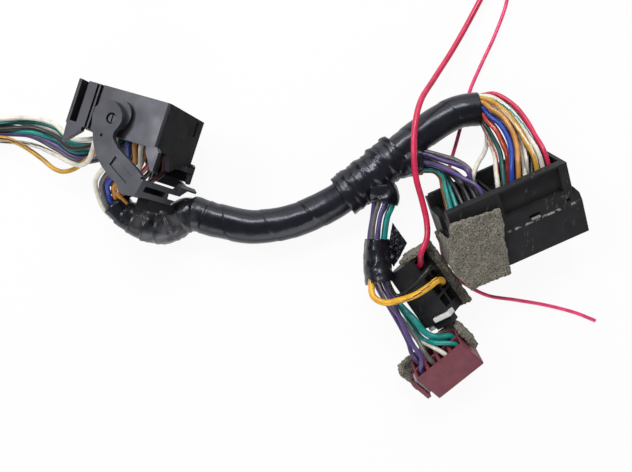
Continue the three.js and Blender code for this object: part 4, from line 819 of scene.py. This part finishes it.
trunk = skin("look_trunk_tape", TRUNK_MM, trunk_section, TAPE)
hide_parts("trunk_tape")
trunk_line, trunk_reach = smooth_line(TRUNK_MM, WRAP_SPACING_MM)
from_end, to_end = WRAP_FROM * trunk_reach[-1], WRAP_TO * trunk_reach[-1]
wrapped = trunk_line[(trunk_reach > from_end) & (trunk_reach < to_end)]
wrap = skin("look_branch_tape", wrapped[::WRAP_STEP], wrap_section, CRUMPLED)
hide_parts("branch_tape")
for name, share, mouth, ahead in (
        ("look_right_stub", RIGHT_AT, RIGHT_MOUTH_MM, RIGHT_AHEAD),
        ("look_down_stub", DOWN_AT, DOWN_MOUTH_MM, DOWN_AHEAD)):
    leaves_at = wrapped[int(len(wrapped) * share)]
    bend_at = np.array(mouth) - STUB_MM * np.array(ahead)
    skin(name, [leaves_at, bend_at, mouth], stub_section, CRUMPLED)
small = skin("look_small_tape", SMALL_TAPE_MM, small_section, CRUMPLED)
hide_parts("small_tape")


# Rings of the flag's faces from its middle to its border, points of each ring, the innermost ring's size as a
# share of the border's, and half the tape's thickness.
FLAG_RINGS = 16
FLAG_POINTS = 72
FLAG_INNERMOST = 0.001
FLAG_HALF_MM = 0.09


def flag_border():
    """Points along the flag's border, the same number on each side of it."""
    corners = np.array(FLAG_MM)
    border = []
    for k in range(FLAG_POINTS):
        along = k * len(corners) / FLAG_POINTS
        a, b = corners[int(along) % len(corners)], corners[(int(along) + 1) % len(corners)]
        border.append(a + (b - a) * (along % 1.0))
    return corners.mean(0), border


def tape_flag():
    """The loose end of the small wrap: a crinkled sheet of tape."""
    middle, border = flag_border()
    points = []
    for face in (1, -1):
        for i in range(FLAG_RINGS + 1):
            for corner in border:
                p = middle + (corner - middle) * max(i / FLAG_RINGS, FLAG_INNERMOST)
                crinkle = creases(p, scale=0.55, amount=0.7) + creases(p, scale=1.3, amount=0.25)
                points.append((p + np.array((0, 0, crinkle + face * FLAG_HALF_MM))) * MM)
    faces = []
    size = (FLAG_RINGS + 1) * FLAG_POINTS
    for i in range(FLAG_RINGS):
        inner, outer = i * FLAG_POINTS, (i + 1) * FLAG_POINTS
        for k in range(FLAG_POINTS):
            n = (k + 1) % FLAG_POINTS
            a, b, c, d = inner + k, inner + n, outer + n, outer + k
            faces += [(a, d, c, b), (size + a, size + b, size + c, size + d)]
    rim = FLAG_RINGS * FLAG_POINTS
    for k in range(FLAG_POINTS):
        a, b = rim + k, rim + (k + 1) % FLAG_POINTS
        faces.append((a, size + a, size + b, b))
    mesh = bpy.data.meshes.new("look_tape_flag")
    mesh.from_pydata([tuple(p) for p in points], [], faces)
    mesh.materials.append(CRINKLED)
    mesh.polygons.foreach_set("use_smooth", [True] * len(faces))
    made = bpy.data.objects.new("look_tape_flag", mesh)
    scene.collection.objects.link(made)
    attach(made, "harness")


tape_flag()

# Moulded pieces are the CAD pieces with rounded edges: material, and width of the edges in millimetres.
MOULDED = {
    "lever_plug_housing": (SLATE, 0.25), "lever_plug_block": (DARK, 0.1), "lever": (LEVER, 0.22),
    "wide_plug_housing": (WORN_BLACK, 0.25),
    "wide_plug_block_left": (DARK, 0.1), "wide_plug_block_right": (DARK, 0.1),
    "small_plug_housing": (BLACK, 0.18), "small_plug_lock": (WHITE, 0.15),
    "burgundy_plug_housing": (BURGUNDY, 0.18), "burgundy_plug_lock": (LILAC, 0.12),
    "end_plug": (BLACK, 0.2), "crimp_cap": (WHITE, 0.1),
}

# Points closer than the first are one point, faces that bend less than the second are one face, and edges
# that bend more than the third are rounded.
SAME_POINT = 0.00001
FLAT_ANGLE = math.radians(1.0)
EDGE_ANGLE = math.radians(35)


def weld(piece):
    piece.modifiers.new("weld", "WELD").merge_threshold = SAME_POINT


def rounded(piece, width_mm):
    """Flat faces joined into one, edges rounded, and shading that keeps the faces flat."""
    weld(piece)
    flat = piece.modifiers.new("flat", "DECIMATE")
    flat.decimate_type = "DISSOLVE"
    flat.angle_limit = FLAT_ANGLE
    bevel = piece.modifiers.new("bevel", "BEVEL")
    bevel.width = width_mm * MM
    bevel.segments = 2
    bevel.limit_method = "ANGLE"
    bevel.angle_limit = EDGE_ANGLE
    bevel.harden_normals = True
    even = piece.modifiers.new("even", "WEIGHTED_NORMAL")
    even.keep_sharp = True
    piece.data.polygons.foreach_set("use_smooth", [True] * len(piece.data.polygons))


# How closely a face of the lever plug has to look along the plug to be one of its matt end faces.
FACES_RIGHT = 0.8

for name, (material, width_mm) in MOULDED.items():
    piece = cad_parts[name]
    piece.data.materials.clear()
    piece.data.materials.append(material)
    # The front faces keep the slate plastic with its painted sheen; the end faces get the matt copy without
    # it.
    if material is SLATE:
        piece.data.materials.append(SLATE_END)
        for face in piece.data.polygons:
            face.material_index = 1 if face.normal.dot(LEVER_PLUG_RIGHT) > FACES_RIGHT else 0
    rounded(piece, width_mm)


def block(name, low_mm, high_mm, place, material, width_mm):
    """A small rounded block in a plug's frame."""
    bpy.ops.mesh.primitive_cube_add(size=1.0)
    made = bpy.context.object
    made.name = name
    low, high = Vector(low_mm) * MM, Vector(high_mm) * MM
    made.data.transform(place @ Matrix.LocRotScale((low + high) / 2, None, high - low))
    made.data.materials.append(material)
    rounded(made, width_mm)
    return made


# Blocks that the CAD part lacks: name, low and high corner in the plug's frame, the frame, the material, its
# slot, the width of the rounded edges, and the body.
BLOCKS = [
    # Bright lip in the slot of the wide plug's ledge.
    ("look_wide_plug_lip", (5.0, -1.15, 8.9), (8.0, -0.55, 9.75),
     WIDE_PLUG, PALE_GREY, "black_plastic", 0.1, "harness"),
    # Grip under the handle bar of the lever, in two parts, and the far wall of the lever plug's wire mouth.
    ("look_lever_grip_front", (13.4, -26.2, -1.5), (17.2, -22.2, 7.5),
     LEVER_PLUG, SLATE_END, "slate_plastic", 0.3, "lever"),
    ("look_lever_grip_back", (13.4, -25.0, -9.5), (17.0, -22.2, -1.6),
     LEVER_PLUG, SLATE_END, "slate_plastic", 0.3, "lever"),
    ("look_lever_plug_guard", (6.0, -13.6, -11.6), (17.2, -7.6, -10.4),
     LEVER_PLUG, SLATE_END, "slate_plastic", 0.3, "harness"),
    # Foot and latch at the end of the small plug, and the toe of the burgundy plug.
    ("look_small_plug_foot", (12.3, -2.8, 0.5), (14.8, 4.4, 4.6),
     SMALL_PLUG, BLACK, "black_plastic", 0.25, "harness"),
    ("look_small_plug_latch", (12.3, -5.6, 2.0), (14.2, -3.2, 4.6),
     SMALL_PLUG, WHITE, "white_plastic", 0.2, "harness"),
    ("look_burgundy_toe", (-12.6, -3.5, 1.5), (-11.0, 4.0, 4.5),
     RED_PLUG, BURGUNDY, "burgundy_plastic", 0.2, "harness"),
]
for name, low_mm, high_mm, place, material, slot, width_mm, body in BLOCKS:
    made = block(name, low_mm, high_mm, place, material, width_mm)
    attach(made, body)

# Felt pads are the CAD pieces made fuzzy.
VOXEL = 0.00032
FUZZ_SCALE, FUZZ_HEIGHT = 0.0011, 0.0009
LUMP_SCALE, LUMP_HEIGHT = 0.006, 0.0011

fuzz = bpy.data.textures.new("fuzz", "CLOUDS")
fuzz.noise_scale = FUZZ_SCALE
fuzz.noise_depth = 3
lumps = bpy.data.textures.new("lumps", "CLOUDS")
lumps.noise_scale = LUMP_SCALE
for name in ("wide_plug_pad", "small_plug_pad", "burgundy_plug_pad"):
    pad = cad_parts[name]
    pad.data.materials.clear()
    pad.data.materials.append(FELT)
    weld(pad)
    remesh = pad.modifiers.new("remesh", "REMESH")
    remesh.mode = "VOXEL"
    remesh.voxel_size = VOXEL
    remesh.use_smooth_shade = True
    for texture, strength in ((lumps, LUMP_HEIGHT), (fuzz, FUZZ_HEIGHT)):
        uneven = pad.modifiers.new("uneven", "DISPLACE")
        uneven.texture = texture
        uneven.texture_coords = "LOCAL"
        uneven.strength = strength
        uneven.mid_level = 0.5

def seen_by(tree, rays):
    """1 for rays of the named kinds, and 0 for all others."""
    light_path = tree.nodes.new("ShaderNodeLightPath").outputs
    seen = light_path[rays[0]]
    for ray in rays[1:]:
        either = tree.nodes.new("ShaderNodeMath")
        either.operation = "MAXIMUM"
        tree.links.new(seen, either.inputs[0])
        tree.links.new(light_path[ray], either.inputs[1])
        seen = either.outputs[0]
    return seen


def choose_surface(tree, amount, usual, other, output):
    """Ends a node tree in a mix: the other shader by the amount, and the usual one by the rest."""
    choose = tree.nodes.new("ShaderNodeMixShader")
    tree.links.new(amount, choose.inputs["Fac"])
    tree.links.new(usual, choose.inputs[1])
    tree.links.new(other, choose.inputs[2])
    tree.links.new(choose.outputs["Shader"], tree.nodes[output].inputs["Surface"])


# Bench: white where it is looked at, also in metal and glass, with a faint shadow of the harness on it.
WHITE_SHARE = 0.93
BENCH_GREY = 0.85
BENCH_SIZE = 3.0
BENCH_Z = -0.0004

bench_look = Nodes("bench")
bench_look.shader.inputs["Base Color"].default_value = (BENCH_GREY, BENCH_GREY, BENCH_GREY, 1.0)
bench_look.shader.inputs["Roughness"].default_value = 0.9
glow = bench_look.add("ShaderNodeEmission", Strength=1.0)
looked_at = seen_by(bench_look.tree, ("Is Camera Ray", "Is Glossy Ray", "Is Transmission Ray"))
choose_surface(bench_look.tree, bench_look.math("MULTIPLY", looked_at, WHITE_SHARE),
               bench_look.shader.outputs["BSDF"], glow.outputs["Emission"], "Material Output")
bpy.ops.mesh.primitive_plane_add(size=BENCH_SIZE, location=(0, 0, BENCH_Z))
bench = bpy.context.object
bench.name = "bench"
bench.data.materials.append(bench_look.material)

# The world lights the harness plainly, and is white where it is looked at.
WORLD_STRENGTH = 0.25
WHITE_STRENGTH = 1.0

world = bpy.data.worlds.new("world")
scene.world = world
world.use_nodes = True
sky = world.node_tree
plain, white = sky.nodes["Background"], sky.nodes.new("ShaderNodeBackground")
for background, strength in ((plain, WORLD_STRENGTH), (white, WHITE_STRENGTH)):
    background.inputs["Color"].default_value = (1.0, 1.0, 1.0, 1.0)
    background.inputs["Strength"].default_value = strength
choose_surface(sky, seen_by(sky, ("Is Camera Ray", "Is Transmission Ray")),
               plain.outputs["Background"], white.outputs["Background"], "World Output")


def lamp(name, at, towards, size, power):
    data = bpy.data.lights.new(name, "AREA")
    data.shape = "RECTANGLE"
    data.size, data.size_y = size
    data.energy = power
    made = bpy.data.objects.new(name, data)
    made.location = at
    made.rotation_euler = (Vector(towards) - Vector(at)).to_track_quat("-Z", "Y").to_euler()
    scene.collection.objects.link(made)


lamp("key", at=(-0.05, 0.48, 0.58), towards=(0, 0, 0), size=(0.32, 0.18), power=2.6)
lamp("side", at=(-0.50, 0.22, 0.53), towards=(-0.06, 0.04, 0), size=(0.22, 0.16), power=1.9)
lamp("wall", at=(0.0, 0.75, 0.36), towards=(0, 0, 0.05), size=(0.90, 0.60), power=2.2)
lamp("front", at=(0.0, -0.75, 0.28), towards=(0, 0, 0.05), size=(0.90, 0.50), power=3.0)
